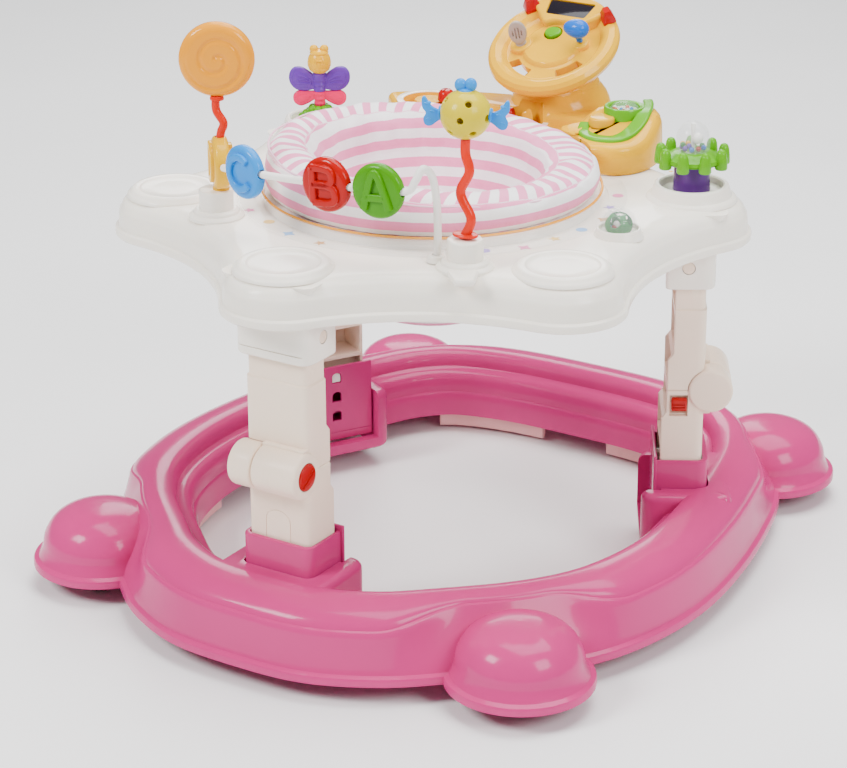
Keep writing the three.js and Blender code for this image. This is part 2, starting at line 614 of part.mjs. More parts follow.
// A flower outline: the edge swells once for every petal.
const petalEdge = ([x, y]) => Array.from({ length: PETALS * 4 }, (_, i) => {
  const a = (2 * Math.PI * i) / (PETALS * 4);
  const r = 33 + 4 * Math.cos(PETALS * a);
  return [x + r * Math.cos(a), y + r * Math.sin(a)];
});

function addRattle(tray) {
  const at = lobePoint(30);
  const drum = turned([[0, 387.4], [18, 387.4], [18, 414], [0, 414]], at, 16);
  part("rattle_drum", cut(drum, rod("z", 5.5, 400, 420, at, 10)), PURPLE, tray);
  const stem = rod("z", 5, 402, 416, at, 10);
  part("rattle_gear", join(prism(petalEdge(at), 414.6, 427), stem), LIME, tray);
  const dome = turned([[0, 427.4], [16, 427.4], [16, 442], [12, 453], [0, 458]], at, 16);
  const hollow = turned([[0, 420], [14.4, 420], [14.4, 441], [10.6, 451], [0, 455.6]], at, 16);
  part("rattle_dome", cut(dome, hollow), CLEAR, tray);
}

function addSpinBall(tray) {
  const window = turned([[17.4, 383.4], [17.4, 393], [13.5, 401], [7, 405.4], [0, 406.4], [0, 404.8], [6.6, 404], [12.6, 400], [15.9, 392.6], [15.9, 383.4], [17.4, 383.4]], BALL_AT, 12);
  part("ball_window", window, CLEAR, tray);
  part("spin_ball", ball(11, [...BALL_AT, 392.5], [1, 1, 0.75], 10), GREEN, tray);
}

// ---- play centre ----
const TILT = new THREE.Matrix4().makeRotationX(rad(WHEEL_TILT));
const wheelFrame = () => {
  const group = new THREE.Group();
  group.position.set(...WHEEL_CENTRE);
  group.rotation.x = rad(WHEEL_TILT);
  return group;
};

const POD = { left: [-118, 182], right: [98, 178] };
const HEEL_AT = [104, 213]; // the right pod rises to a heel at the tray's edge
const BUTTON_AT = [84, 188];
const BODY_TOP = 414;
const POD_TOP = 412;
const HEEL_TOP = 427;
const BUTTON_TOP = 425;
const FRONT_TOP = 402;
// Round grooves that the two slider knobs run in; each knob rests on the side named.
const TRACKS = {
  left: { at: POD.left, radius: 21, top: BODY_TOP, stem: 4.5, side: 1 },
  right: { at: [-12, 194], radius: 16, top: FRONT_TOP, stem: 3.4, side: -1 },
};

function playBody() {
  const low = TRAY_TOP + GAP;
  const front = prism(sector(170, 212, 45, 135), low, FRONT_TOP);
  const back = prism(sector(205, 256, 46, 134), low, BODY_TOP);
  const pod = (at, radius, top) => turned([[0, low], [radius, low], [radius, top - 6], [radius - 8, top], [0, top]], at, 20);
  const cone = turned([[0, low], [56, low], [51, 420], [40, 436], [0, 438]], [WHEEL_CENTRE[0], 256], 20);
  const turnedToWheel = (geometry, along) =>
    solid(geometry.rotateX(Math.PI / 2).translate(0, 0, along).applyMatrix4(TILT).translate(...WHEEL_CENTRE));
  const column = turnedToWheel(new THREE.CylinderGeometry(15, 30, 60, 14), -46);
  const shaft = turnedToWheel(new THREE.CylinderGeometry(5, 5, 26, 10), -8);
  const pods = [pod(POD.left, 40, BODY_TOP), pod(POD.right, 42, POD_TOP), pod(HEEL_AT, 34, HEEL_TOP)];
  const body = join(front, back, ...pods, cone, column, shaft);
  const seatRoom = rod("z", 170, 370, 450, [0, 0], 36);
  const tracks = Object.values(TRACKS).map(({ at, radius, top, stem }) => {
    const [near, far] = [radius - stem - 1.5, radius + stem + 1.5];
    return turnedRing([[near, top - 8], [far, top - 8], [far, top + 20], [near, top + 20]], at, 20);
  });
  return cut(body, seatRoom, rod("z", 14, BUTTON_TOP - 15, 440, BUTTON_AT, 16), ...tracks);
}

function steeringWheel() {
  const half = [[6, -7], [48, -6], [56, -9], [64, -9], [70, -2], [68, 6], [60, 10], [48, 5], [6, 6]];
  const windows = [240, 318].map((a) => prism(sector(37, 49, a - 20, a + 20, 5), -20, 20));
  const panel = prism(sector(24, 60, 60, 120, 6), 4, 15);
  const recesses = Object.values(KEY_TURNS).map((turn) => rod("z", 8.8, 6.4, 12, keyAt(turn), 6));
  const hornWell = rod("z", 10, -3, 20, HORN_AT, 14);
  return cut(join(turnedRing(half, [0, 0], 24), panel), ...windows, ...recesses, hornWell);
}

const HORN_AT = [-6, 14];
const LEVER_AT = [30, 6];
const KEY_TURNS = { left: 136, right: 44 }; // where the keys stand on the rim, in degrees

const keyAt = (turn) => [62 * Math.cos(rad(turn)), 62 * Math.sin(rad(turn))];

function sliderKnob({ at, radius, top, stem, side }) {
  const place = [at[0] + side * radius, at[1]];
  const cap = [[0, top + GAP], [2 * stem, top + GAP], [2 * stem, top + 8], [stem, top + 13], [0, top + 14]];
  return join(rod("z", stem, top - 7.5, top + 2, place, 10), turned(cap, place, 12));
}

function addPlayCentre(tray) {
  part("play_body", playBody(), YELLOW, tray);
  part("play_button", rod("z", 13.4, BUTTON_TOP - 11, BUTTON_TOP, BUTTON_AT, 16), YELLOW, tray);
  for (const [side, track] of Object.entries(TRACKS)) part(`slider_knob_${side}`, sliderKnob(track), RED, tray);
  const wheel = wheelFrame();
  part("steering_wheel", steeringWheel(), YELLOW, wheel);
  part("horn_button", rod("z", 9.5, 0, 9, HORN_AT, 14), LIME, wheel);
  for (const [side, turn] of Object.entries(KEY_TURNS)) {
    const cap = [[0, 9], [8, 9], [7, 17], [4, 22], [0, 22]];
    part(`wheel_key_${side}`, turned(cap, keyAt(turn), 6), RED, wheel);
  }
  const lever = join(rod("z", 4, 7.6, 20, LEVER_AT, 10), ball(11, [...LEVER_AT, 27], [1.3, 0.9, 0.9], 10));
  part("play_lever", lever, BLUE, wheel);
  tray.add(wheel);
}

// ---- assembly ----
function addTray(parent) {
  const tray = new THREE.Group();
  tray.position.y = HUB_Y;
  part("tray", trayShell(), WHITE, tray);
  addSeat(tray);
  addBeads(tray);
  addLollipop(tray);
  addFish(tray);
  addButterfly(tray);
  addRattle(tray);
  addSpinBall(tray);
  addPlayCentre(tray);
  parent.add(tray);
}

const walker = new THREE.Group();
addBase(walker);
addCastors(walker);
addLegs(walker);
addTray(walker);

export default walker;
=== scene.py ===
"""Looks of a baby walker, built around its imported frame. Shapes are given in millimetres."""
import json
import math

import bmesh
import bpy
from mathutils import Matrix, Vector, noise


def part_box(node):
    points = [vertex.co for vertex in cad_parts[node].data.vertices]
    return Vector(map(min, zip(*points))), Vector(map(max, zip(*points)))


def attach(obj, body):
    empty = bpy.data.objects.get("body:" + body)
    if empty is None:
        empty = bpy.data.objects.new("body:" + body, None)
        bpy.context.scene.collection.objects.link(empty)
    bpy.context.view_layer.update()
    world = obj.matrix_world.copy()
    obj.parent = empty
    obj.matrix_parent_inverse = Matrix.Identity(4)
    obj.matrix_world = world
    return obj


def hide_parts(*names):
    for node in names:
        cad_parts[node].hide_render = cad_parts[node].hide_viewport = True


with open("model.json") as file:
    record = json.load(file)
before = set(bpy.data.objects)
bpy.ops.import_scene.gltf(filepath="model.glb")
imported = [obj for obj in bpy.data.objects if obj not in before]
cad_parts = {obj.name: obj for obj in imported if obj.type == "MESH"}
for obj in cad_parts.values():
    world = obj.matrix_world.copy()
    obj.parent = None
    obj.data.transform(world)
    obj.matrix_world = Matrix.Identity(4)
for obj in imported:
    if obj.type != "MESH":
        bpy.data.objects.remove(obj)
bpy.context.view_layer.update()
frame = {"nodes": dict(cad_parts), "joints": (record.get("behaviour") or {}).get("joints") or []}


MM = 0.001
JOINTS = {joint["name"]: joint for joint in frame["joints"]}


# ---- the frame's own places ----
def axes_at(point, x=None, z=None):
    """A right-handed frame at a point, with the X axis given and Z as near as can be to the one given."""
    x = Vector(x or (1, 0, 0)).normalized()
    y = Vector(z or (0, 0, 1)).cross(x).normalized()
    z = x.cross(y)
    matrix = Matrix((x, y, z)).transposed().to_4x4()
    return Matrix.Translation(Vector(point)) @ matrix


def joint_frame(name, x=None, z=None):
    joint = JOINTS[name]
    return axes_at(joint["pos_m"], x, z)


def middle(node):
    low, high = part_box(node)
    return (low + high) / 2


HUB = Vector((middle("seat_ring").x, middle("seat_ring").y, 0))
AT_HUB = Matrix.Translation(HUB)
LEG_HINGES = {"rear": "fold", "right": "sleeve_hinge_right", "left": "sleeve_hinge_left"}


def leg_frame(place):
    joint = JOINTS[LEG_HINGES[place]]
    x, y, _ = joint["pos_m"]
    return axes_at((x, y, 0), joint["axis"])


LEG_FRAMES = {place: leg_frame(place) for place in LEG_HINGES}


def on_lobe(degrees, radius=252):
    a = math.radians(degrees)
    return (radius * math.cos(a), radius * math.sin(a))


# ---- camera ----
CAMERA_AT = (1.3392, -2.1417, 1.1922)
CAMERA_RIGHT = (0.8443, 0.5359, 0)
CAMERA_BACK = (0.4971, -0.7832, 0.3736)
CAMERA_ROLL = -0.174
CAMERA_LENS = 114.72


def add_camera():
    camera = bpy.data.objects.new("camera", bpy.data.cameras.new("camera"))
    bpy.context.scene.collection.objects.link(camera)
    level = axes_at(CAMERA_AT, CAMERA_RIGHT, CAMERA_BACK)
    camera.matrix_world = level @ Matrix.Rotation(math.radians(CAMERA_ROLL), 4, "Z")
    camera.data.lens = CAMERA_LENS
    camera.data.sensor_width = 36
    camera.data.clip_end = 20
    bpy.context.scene.camera = camera


add_camera()


# ---- mesh helpers ----
UPRIGHT = Matrix.Rotation(math.pi / 2, 4, "X")


def shift(x, y, z=0):
    """A move given in millimetres."""
    return Matrix.Translation(Vector((x, y, z)) * MM)


def oval(half_x, half_y, count, centre=(0, 0), start=0.0):
    """Points round an ellipse; start turns the first one."""
    turns = (start + 2 * math.pi * i / count for i in range(count))
    return [(centre[0] + half_x * math.cos(a), centre[1] + half_y * math.sin(a)) for a in turns]


def build(name, points, faces, at=None):
    """A mesh from points in millimetres, with its faces turned outward, placed by a frame."""
    mesh = bpy.data.meshes.new(name)
    mesh.from_pydata([Vector(p) * MM for p in points], [], faces)
    work = bmesh.new()
    work.from_mesh(mesh)
    bmesh.ops.remove_doubles(work, verts=work.verts, dist=1e-6)
    bmesh.ops.dissolve_degenerate(work, edges=work.edges, dist=1e-7)
    bmesh.ops.recalc_face_normals(work, faces=work.faces)
    work.to_mesh(mesh)
    work.free()
    if at is not None:
        mesh.transform(at)
    piece = bpy.data.objects.new(name, mesh)
    bpy.context.scene.collection.objects.link(piece)
    return piece


def loft(name, rings, closed=False, at=None):
    """Skins rings of points; open lofts get flat ends."""
    count = len(rings[0])
    points = [p for ring in rings for p in ring]
    faces = []
    for r in range(len(rings) if closed else len(rings) - 1):
        low, high = r * count, (r + 1) % len(rings) * count
        for i in range(count):
            j = (i + 1) % count
            faces.append((low + i, low + j, high + j, high + i))
    if not closed:
        faces.append(tuple(range(count)))
        faces.append(tuple(range(len(points) - count, len(points))))
    return build(name, points, faces, at)


def curve(points, per=6, closed=False):
    """A Catmull-Rom curve through points of any dimension."""
    count = len(points)
    out = []
    for i in range(count if closed else count - 1):
        if closed:
            p = [points[(i + k - 1) % count] for k in range(4)]
        else:
            p = [points[min(max(i + k - 1, 0), count - 1)] for k in range(4)]
        for step in range(per):
            t = step / per
            out.append(tuple(
                0.5 * (2 * b + (c - a) * t + (2 * a - 5 * b + 4 * c - d) * t * t
                       + (3 * b - a - 3 * c + d) * t ** 3)
                for a, b, c, d in zip(*p)))
    if not closed:
        out.append(tuple(points[-1]))
    return out


def lathe(name, profile, at=None, sides=64, closed=False):
    """Turns a profile of (radius, height) about Z; it starts and ends on the axis or closes."""
    rings = []
    for i in range(sides):
        a = 2 * math.pi * i / sides
        rings.append([(r * math.cos(a), r * math.sin(a), z) for r, z in profile])
    count = len(profile)
    faces = []
    for i in range(sides):
        low, high = i * count, (i + 1) % sides * count
        for k in range(count if closed else count - 1):
            j = (k + 1) % count
            faces.append((low + k, low + j, high + j, high + k))
    return build(name, [p for ring in rings for p in ring], faces, at)


def round_corner(corner, before, after, radius, steps):
    """Points of an arc that rounds one corner of an outline."""
    corner, before, after = Vector(corner), Vector(before), Vector(after)
    if radius <= 0:
        return [tuple(corner)]
    start = corner + (before - corner).normalized() * radius
    end = corner + (after - corner).normalized() * radius
    out = []
    for i in range(steps + 1):
        t = i / steps
        out.append(tuple(start * (1 - t) ** 2 + corner * 2 * t * (1 - t) + end * t * t))
    return out


def rounded(points, radii, steps=5):
    """A flat outline with every corner rounded by its own radius."""
    count = len(points)
    radii = radii if isinstance(radii, (list, tuple)) else [radii] * count
    out = []
    for i, (p, r) in enumerate(zip(points, radii)):
        out += round_corner(p, points[i - 1], points[(i + 1) % count], r, steps)
    return out


def rectangle(x0, y0, x1, y1):
    return [(x0, y0), (x1, y0), (x1, y1), (x0, y1)]


def inset(outline, amount):
    """Moves a flat outline inward along its own normals."""
    count = len(outline)
    area = sum(a[0] * b[1] - b[0] * a[1] for a, b in zip(outline, outline[1:] + outline[:1]))
    turn = 1 if area > 0 else -1
    out = []
    for i, (x, y) in enumerate(outline):
        before, after = outline[i - 1], outline[(i + 1) % count]
        tangent = Vector((after[0] - before[0], after[1] - before[1]))
        if tangent.length < 1e-9:
            out.append((x, y))
            continue
        tangent.normalize()
        out.append((x - turn * tangent.y * amount, y + turn * tangent.x * amount))
    return out


def prism(name, outline, low, high, edge=0.0, steps=3, at=None):
    """An outline raised from low to high, with its top and bottom edges rounded."""
    rings = []
    if edge:
        for i in range(steps + 1):
            a = math.pi / 2 * i / steps
            flat = inset(outline, edge * (1 - math.sin(a)))
            rings.append([(x, y, low + edge * (1 - math.cos(a))) for x, y in flat])
        for i in range(steps, -1, -1):
            a = math.pi / 2 * i / steps
            flat = inset(outline, edge * (1 - math.sin(a)))
            rings.append([(x, y, high - edge * (1 - math.cos(a))) for x, y in flat])
    else:
        rings = [[(x, y, z) for x, y in outline] for z in (low, high)]
    return loft(name, rings, at=at)


def box(name, low, high, edge=0.0, corner=0.0, at=None):
    outline = rounded(rectangle(low[0], low[1], high[0], high[1]), corner, 4) if corner \
        else rectangle(low[0], low[1], high[0], high[1])
    return prism(name, outline, low[2], high[2], edge, at=at)


def turn_to(axis):
    """A rotation that takes Z to X or Y."""
    return {"x": Matrix.Rotation(math.pi / 2, 4, "Y"), "y": Matrix.Rotation(-math.pi / 2, 4, "X"),
            "z": Matrix.Identity(4)}[axis]


def drum(name, radius, low, high, edge=1.0, axis="z", centre=(0, 0), at=None, sides=48):
    """A cylinder with rounded edges along X, Y or Z; centre gives the other two coordinates."""
    edge = min(edge, radius * 0.9, (high - low) * 0.49)
    arc = [(edge * math.sin(a), edge * (1 - math.cos(a)))
           for a in (math.pi / 2 * i / 4 for i in range(5))]
    bottom = [(0, low)] + [(radius - edge + s, low + c) for s, c in arc]
    top = [(radius - edge + s, high - c) for s, c in reversed(arc)] + [(0, high)]
    places = {"x": (0, centre[0], centre[1]), "y": (centre[0], 0, centre[1]),
              "z": (centre[0], centre[1], 0)}
    local = Matrix.Translation(Vector(places[axis]) * MM) @ turn_to(axis)
    return lathe(name, bottom + top, (at or Matrix.Identity(4)) @ local, sides)


def ellipsoid(name, radii, centre, at=None, sides=32):
    steps = sides // 2
    profile = [(math.sin(math.pi * i / steps), -math.cos(math.pi * i / steps)) for i in range(steps + 1)]
    profile[0], profile[-1] = (0, -1), (0, 1)
    local = Matrix.Translation(Vector(centre) * MM) @ Matrix.Diagonal((*radii, 1))
    return lathe(name, profile, (at or Matrix.Identity(4)) @ local, sides)


def tube(name, points, radius, at=None, sides=16, per=8):
    """A round bar along a smooth curve; radius may be a function of the share of the way along."""
    path = [Vector(p) for p in curve(points, per)]
    width = radius if callable(radius) else (lambda share: radius)
    side = None
    rings = []
    for i, p in enumerate(path):
        along = (path[min(i + 1, len(path) - 1)] - path[max(i - 1, 0)]).normalized()
        if side is None:
            side = along.orthogonal().normalized()
        side = (side - along * side.dot(along)).normalized()
        other = along.cross(side)
        r = width(i / (len(path) - 1))
        rings.append([tuple(p + (side * math.cos(a) + other * math.sin(a)) * r)
                      for a in (2 * math.pi * k / sides for k in range(sides))])
    return loft(name, rings, at=at)


def settle(piece):
    """Applies a piece's modifiers."""
    bpy.context.view_layer.update()
    graph = bpy.context.evaluated_depsgraph_get()
    mesh = bpy.data.meshes.new_from_object(piece.evaluated_get(graph))
    old = piece.data
    piece.modifiers.clear()
    piece.data = mesh
    bpy.data.meshes.remove(old)
    return piece


def combine(piece, others, operation):
    """Joins or cuts solids; the others are used up."""
    for other in others:
        modifier = piece.modifiers.new("solid", "BOOLEAN")
        modifier.operation = operation
        modifier.solver = "MANIFOLD"
        modifier.object = other
    settle(piece)
    for other in others:
        bpy.data.objects.remove(other)
    return piece


def join(piece, *others):
    return combine(piece, others, "UNION")


def cut(piece, *others):
    return combine(piece, others, "DIFFERENCE")


def shade(piece, angle=35):
    piece.data.shade_smooth()
    piece.data.set_sharp_from_angle(angle=math.radians(angle))
    return piece


def finish(piece, material, body, replaces=(), angle=35):
    shade(piece, angle)
    piece.data.materials.clear()
    piece.data.materials.append(material)
    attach(piece, body)
    if replaces:
        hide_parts(*([replaces] if isinstance(replaces, str) else replaces))
    return piece


# ---- materials ----
def srgb(text):
    """A linear colour from an sRGB hex triplet."""
    def channel(value):
        c = int(value, 16) / 255
        return c / 12.92 if c <= 0.04045 else ((c + 0.055) / 1.055) ** 2.4
    return tuple(channel(text[i:i + 2]) for i in (0, 2, 4)) + (1.0,)


def shaded(colour, factor):
    return tuple(min(1.0, c * factor) for c in colour[:3]) + (1.0,)


class Nodes:
    """Short hand for one material's node tree."""

    def __init__(self, name):
        self.material = bpy.data.materials.new(name)
        self.material.use_nodes = True
        self.tree = self.material.node_tree
        self.shader = self.tree.nodes["Principled BSDF"]
        self.place = self.add("ShaderNodeTexCoord").outputs["Object"]

    def add(self, kind, **inputs):
        node = self.tree.nodes.new(kind)
        for key, value in inputs.items():
            if key in node.inputs:
                self.set(node.inputs[key], value)
            else:
                setattr(node, key, value)
        return node

    def set(self, socket, value):
        if isinstance(value, bpy.types.NodeSocket):
            self.tree.links.new(value, socket)
        else:
            socket.default_value = value

    def noise(self, scale, detail=3.0, roughness=0.55, place=None):
        node = self.add("ShaderNodeTexNoise")
        self.set(node.inputs["Vector"], place or self.place)
        node.inputs["Scale"].default_value = scale
        node.inputs["Detail"].default_value = detail
        node.inputs["Roughness"].default_value = roughness
        return node.outputs["Fac"]

    def math(self, operation, a, b=0.0):
        node = self.add("ShaderNodeMath", operation=operation)
        self.set(node.inputs[0], a)
        self.set(node.inputs[1], b)
        return node.outputs[0]

    def fit(self, value, low, high, to_low, to_high):
        node = self.add("ShaderNodeMapRange")
        for socket, given in zip(node.inputs, (value, low, high, to_low, to_high)):
            self.set(socket, given)
        return node.outputs[0]

    def mix(self, share, a, b):
        node = self.add("ShaderNodeMix", data_type="RGBA")
        self.set(node.inputs[0], share)
        self.set(node.inputs[6], a)
        self.set(node.inputs[7], b)
        return node.outputs[2]

    def bump(self, height, strength, distance, below=None):
        node = self.add("ShaderNodeBump")
        self.set(node.inputs["Height"], height)
        node.inputs["Strength"].default_value = strength
        node.inputs["Distance"].default_value = distance
        if below:
            self.set(node.inputs["Normal"], below)
        return node.outputs["Normal"]

    def split(self):
        return self.add("ShaderNodeSeparateXYZ", Vector=self.place).outputs


def plastic(name, hex_colour, rough=0.22, coat=0.35, grain=0.12, mottle=0.05, soft=0.0):
    """Moulded plastic: slight flow mottling, a fine skin texture, scuffs, and a painted highlight that makes
    convex edges paler in patches.
    """
    n = Nodes(name)
    colour = srgb(hex_colour)
    flow = n.fit(n.noise(7.0, 4.0), 0.3, 0.7, 0.0, 1.0)
    body = n.mix(flow, shaded(colour, 1 - mottle), shaded(colour, 1 + mottle * 0.6))
    edges = n.add("ShaderNodeNewGeometry").outputs["Pointiness"]
    # Painted highlight: convex edges are mixed in patches toward a colour 25% lighter, standing in for light
    # catching the edges.
    edge_highlight = n.math("MULTIPLY", n.fit(edges, 0.52, 0.6, 0.0, 1.0), n.fit(n.noise(60, 5.0), 0.35, 0.7, 0.0, 0.3))
    n.set(n.shader.inputs["Base Color"], n.mix(edge_highlight, body, shaded(colour, 1.25)))
    scuffs = n.fit(n.noise(24.0, 6.0, 0.65), 0.35, 0.75, rough * 0.8, rough * 1.35)
    n.set(n.shader.inputs["Roughness"], scuffs)
    skin = n.bump(n.noise(1400.0, 2.0), grain, 0.00025)
    n.set(n.shader.inputs["Normal"], n.bump(n.noise(16.0, 2.0), 0.05, 0.0015, skin))
    n.shader.inputs["Coat Weight"].default_value = coat * 0.4
    n.shader.inputs["Coat Roughness"].default_value = 0.06
    n.shader.inputs["Specular IOR Level"].default_value = 0.12
    n.shader.inputs["IOR"].default_value = 1.49
    if soft:
        n.shader.inputs["Subsurface Weight"].default_value = soft
        n.shader.inputs["Subsurface Radius"].default_value = (0.004, 0.003, 0.002)
        n.shader.inputs["Subsurface Scale"].default_value = 0.6
    return n.material


def clear_plastic(name, hex_colour, alpha, rough=0.06):
    """Clear moulding: see-through, with faint flow lines and a glossy skin."""
    n = Nodes(name)
    colour = srgb(hex_colour)
    flow = n.noise(18.0, 3.0)
    n.set(n.shader.inputs["Base Color"], n.mix(flow, shaded(colour, 0.93), colour))
    n.set(n.shader.inputs["Roughness"], n.fit(flow, 0.3, 0.7, rough * 0.7, rough * 1.6))
    n.set(n.shader.inputs["Normal"], n.bump(n.noise(45.0, 2.0), 0.06, 0.001))
    n.shader.inputs["Alpha"].default_value = alpha
    n.shader.inputs["Coat Weight"].default_value = 0.6
    n.shader.inputs["Coat Roughness"].default_value = 0.04
    return n.material


PINK = plastic("pink_plastic", "c63278", rough=0.2, coat=0.5, mottle=0.04)
CREAM = plastic("cream_plastic", "fbe4cf", rough=0.32, coat=0.15, mottle=0.03, soft=0.08)
TRAY_WHITE = plastic("tray_plastic", "fdf6ea", rough=0.2, coat=0.45, mottle=0.025, soft=0.08)
WHITE = plastic("white_plastic", "fbf8f2", rough=0.25, coat=0.3, mottle=0.03)
RED = plastic("red_plastic", "b00605", rough=0.2, coat=0.5, mottle=0.08)
YELLOW = plastic("yellow_plastic", "ecb000", rough=0.18, coat=0.55, mottle=0.06)
D_YELLOW = plastic("letter_yellow_plastic", "eeb600", rough=0.2, coat=0.5, mottle=0.06)
GOLD = plastic("gold_plastic", "ec9e00", rough=0.25, coat=0.35, mottle=0.06)
BLUE = plastic("blue_plastic", "0c66cc", rough=0.18, coat=0.5, mottle=0.07)
SKY = plastic("sky_plastic", "148ade", rough=0.22, coat=0.45, mottle=0.07)
LIME = plastic("lime_plastic", "5ca804", rough=0.22, coat=0.4, mottle=0.08)
DEEP_LIME = plastic("deep_lime_plastic", "459006", rough=0.26, coat=0.3, mottle=0.08)
GREEN = plastic("green_plastic", "06802e", rough=0.2, coat=0.5, mottle=0.08)
ORANGE = plastic("orange_plastic", "dc2404", rough=0.3, coat=0.25, mottle=0.08)
FISH = plastic("fish_plastic", "d6c00c", rough=0.26, coat=0.35, mottle=0.07)
VIOLET = plastic("violet_plastic", "6634a4", rough=0.26, coat=0.35, mottle=0.08)
MAGENTA = plastic("magenta_plastic", "ee0a5e", rough=0.26, coat=0.35, mottle=0.07)
PURPLE = plastic("purple_plastic", "5a2e7c", rough=0.24, coat=0.35, mottle=0.07)
MAUVE = plastic("castor_plastic", "73433e", rough=0.45, coat=0.0, grain=0.3, mottle=0.12)
GRIP = plastic("grip_rubber", "f2b8b8", rough=0.6, coat=0.0, grain=0.5, mottle=0.1, soft=0.15)
SILVER = plastic("silver_plastic", "a5988c", rough=0.25, coat=0.5, mottle=0.08)
DARK = plastic("display_plastic", "1c1820", rough=0.12, coat=0.8, mottle=0.2)
CLEAR = clear_plastic("clear_plastic", "f3f6f7", 0.1)
SMOKE = clear_plastic("bead_window_plastic", "a9cfae", 0.22)


# ---- base ring ----
# Right half of the outer edge, rear middle to front middle; the left half mirrors it.
EDGE = [
    (0, -366), (74, -360), (140, -331), (192, -289), (250, -233), (292, -172), (315, -100),
    (322, -25), (315, 60), (299, 145), (276, 225), (238, 292), (182, 338), (100, 361), (0, 366),
]
STATIONS = 360
DOMES = {"rear_left": (-241, -249), "rear_right": (241, -249), "front_left": (-228, 297),
         "front_right": (228, 297)}


def base_stations():
    """Evenly spaced places on the outer edge, each with its inward direction."""
    loop = EDGE + [(-x, y) for x, y in EDGE[-2:0:-1]]
    dense = [Vector(p) for p in curve(loop, 24, closed=True)]
    lengths = [0.0]
    for a, b in zip(dense, dense[1:] + dense[:1]):
        lengths.append(lengths[-1] + (b - a).length)
    out, k = [], 0
    for i in range(STATIONS):
        target = lengths[-1] * i / STATIONS
        while lengths[k + 1] < target:
            k += 1
        share = (target - lengths[k]) / (lengths[k + 1] - lengths[k])
        out.append(dense[k].lerp(dense[(k + 1) % len(dense)], share))
    ring = []
    for i, p in enumerate(out):
        along = (out[(i + 1) % STATIONS] - out[i - 1]).normalized()
        ring.append((p, Vector((-along.y, along.x))))
    return ring


RING = base_stations()


def near_dome(p):
    """How close a station is to a castor dome, from 0 to 1."""
    distance = min((p - Vector(d)).length for d in DOMES.values())
    t = min(max((distance - 40) / 95, 0.0), 1.0)
    return 1 - t * t * (3 - 2 * t)


def base_outside(swell):
    """The ring's outer section as (inset, height); by a dome the crease swings inward."""
    crease = (12 + 22 * swell, 66.5 + 12 * swell)
    wall = []
    for i in range(9):
        t = i / 8
        sag = math.sin(math.pi * t) * swell
        wall.append((6.3 + (crease[0] - 6.3) * t ** (1 + 0.5 * swell) + 2 * sag,
                     32 + (crease[1] - 32) * t - 3 * sag))
    foot = [(0, 20), (0, 25.5), (0.9, 27.6), (3.2, 28.6), (5.2, 29.4)]
    ridge = [(crease[0] + 1.2, crease[1] + 1.9), (crease[0] + 3.4, crease[1] + 3.0)]
    crest = (54, 88)
    crown = []
    for i in range(1, 9):
        a = math.pi / 2 * i / 8
        crown.append((ridge[1][0] + (crest[0] - ridge[1][0]) * (1 - math.cos(a)) ** 0.85,
                      ridge[1][1] + (crest[1] - ridge[1][1]) * math.sin(a)))
    inner = [(59, 87.8), (64, 86.2), (68, 83.2), (70.6, 79), (71.6, 75.2), (72.4, 72), (74.6, 70.2),
             (78.5, 69.4), (82.5, 67.6), (85.6, 64.2), (87.2, 60), (88.2, 53), (88.6, 47.4), (89.6, 46.4),
             (90.4, 44.8), (91.2, 34), (92, 20)]
    return foot + wall + ridge + crown + inner


def base_hollow(swell):
    """The hollow under the ring, which keeps about 3 mm of wall."""
    far = [(9, 33), (15, 60), (20, 68), (38, 79)]
    near = [(9.5, 31), (27, 53), (39, 73), (46, 80)]
    wall = [(a[0] + (b[0] - a[0]) * swell, a[1] + (b[1] - a[1]) * swell) for a, b in zip(far, near)]
    return [(9, 14)] + wall + [(54, 84.6), (64, 82.6), (68.6, 76), (69.6, 69), (72, 66.8), (80, 65),
                               (84, 58), (85.4, 48), (88, 40), (88.4, 14)]


def base_ring(name, section_of):
    rings = []
    for p, inward in RING:
        section = section_of(near_dome(p))
        rings.append([(*(p + inward * d), z) for d, z in section])
    return loft(name, rings, closed=True)


def at_dome(place):
    x, y = DOMES[place]
    return shift(x, y)


def jamb(at):
    """The shoulder that the crown swells into around a leg's pocket."""
    return prism("jamb", rounded(rectangle(-60, -40, 60, 50), [17, 17, 9, 9], 8), 20, 86.8, 8, 6, at)


def leg_pockets():
    """Solids that add the jambs around each leg, and solids that clear the leg's way."""
    bosses, wells, rooms = [], [], []
    for place, at in LEG_FRAMES.items():
        bosses.append(jamb(at))
        well = rounded(rectangle(-56, -36, 56, 27), [13, 13, 1, 1], 6)
        wells.append(prism(f"well_{place}", well, 10, 79, at=at))
        rooms.append(box(f"jacket_{place}", (-47, -42, 20), (47, 33, 87), at=at))
    return bosses, wells, rooms


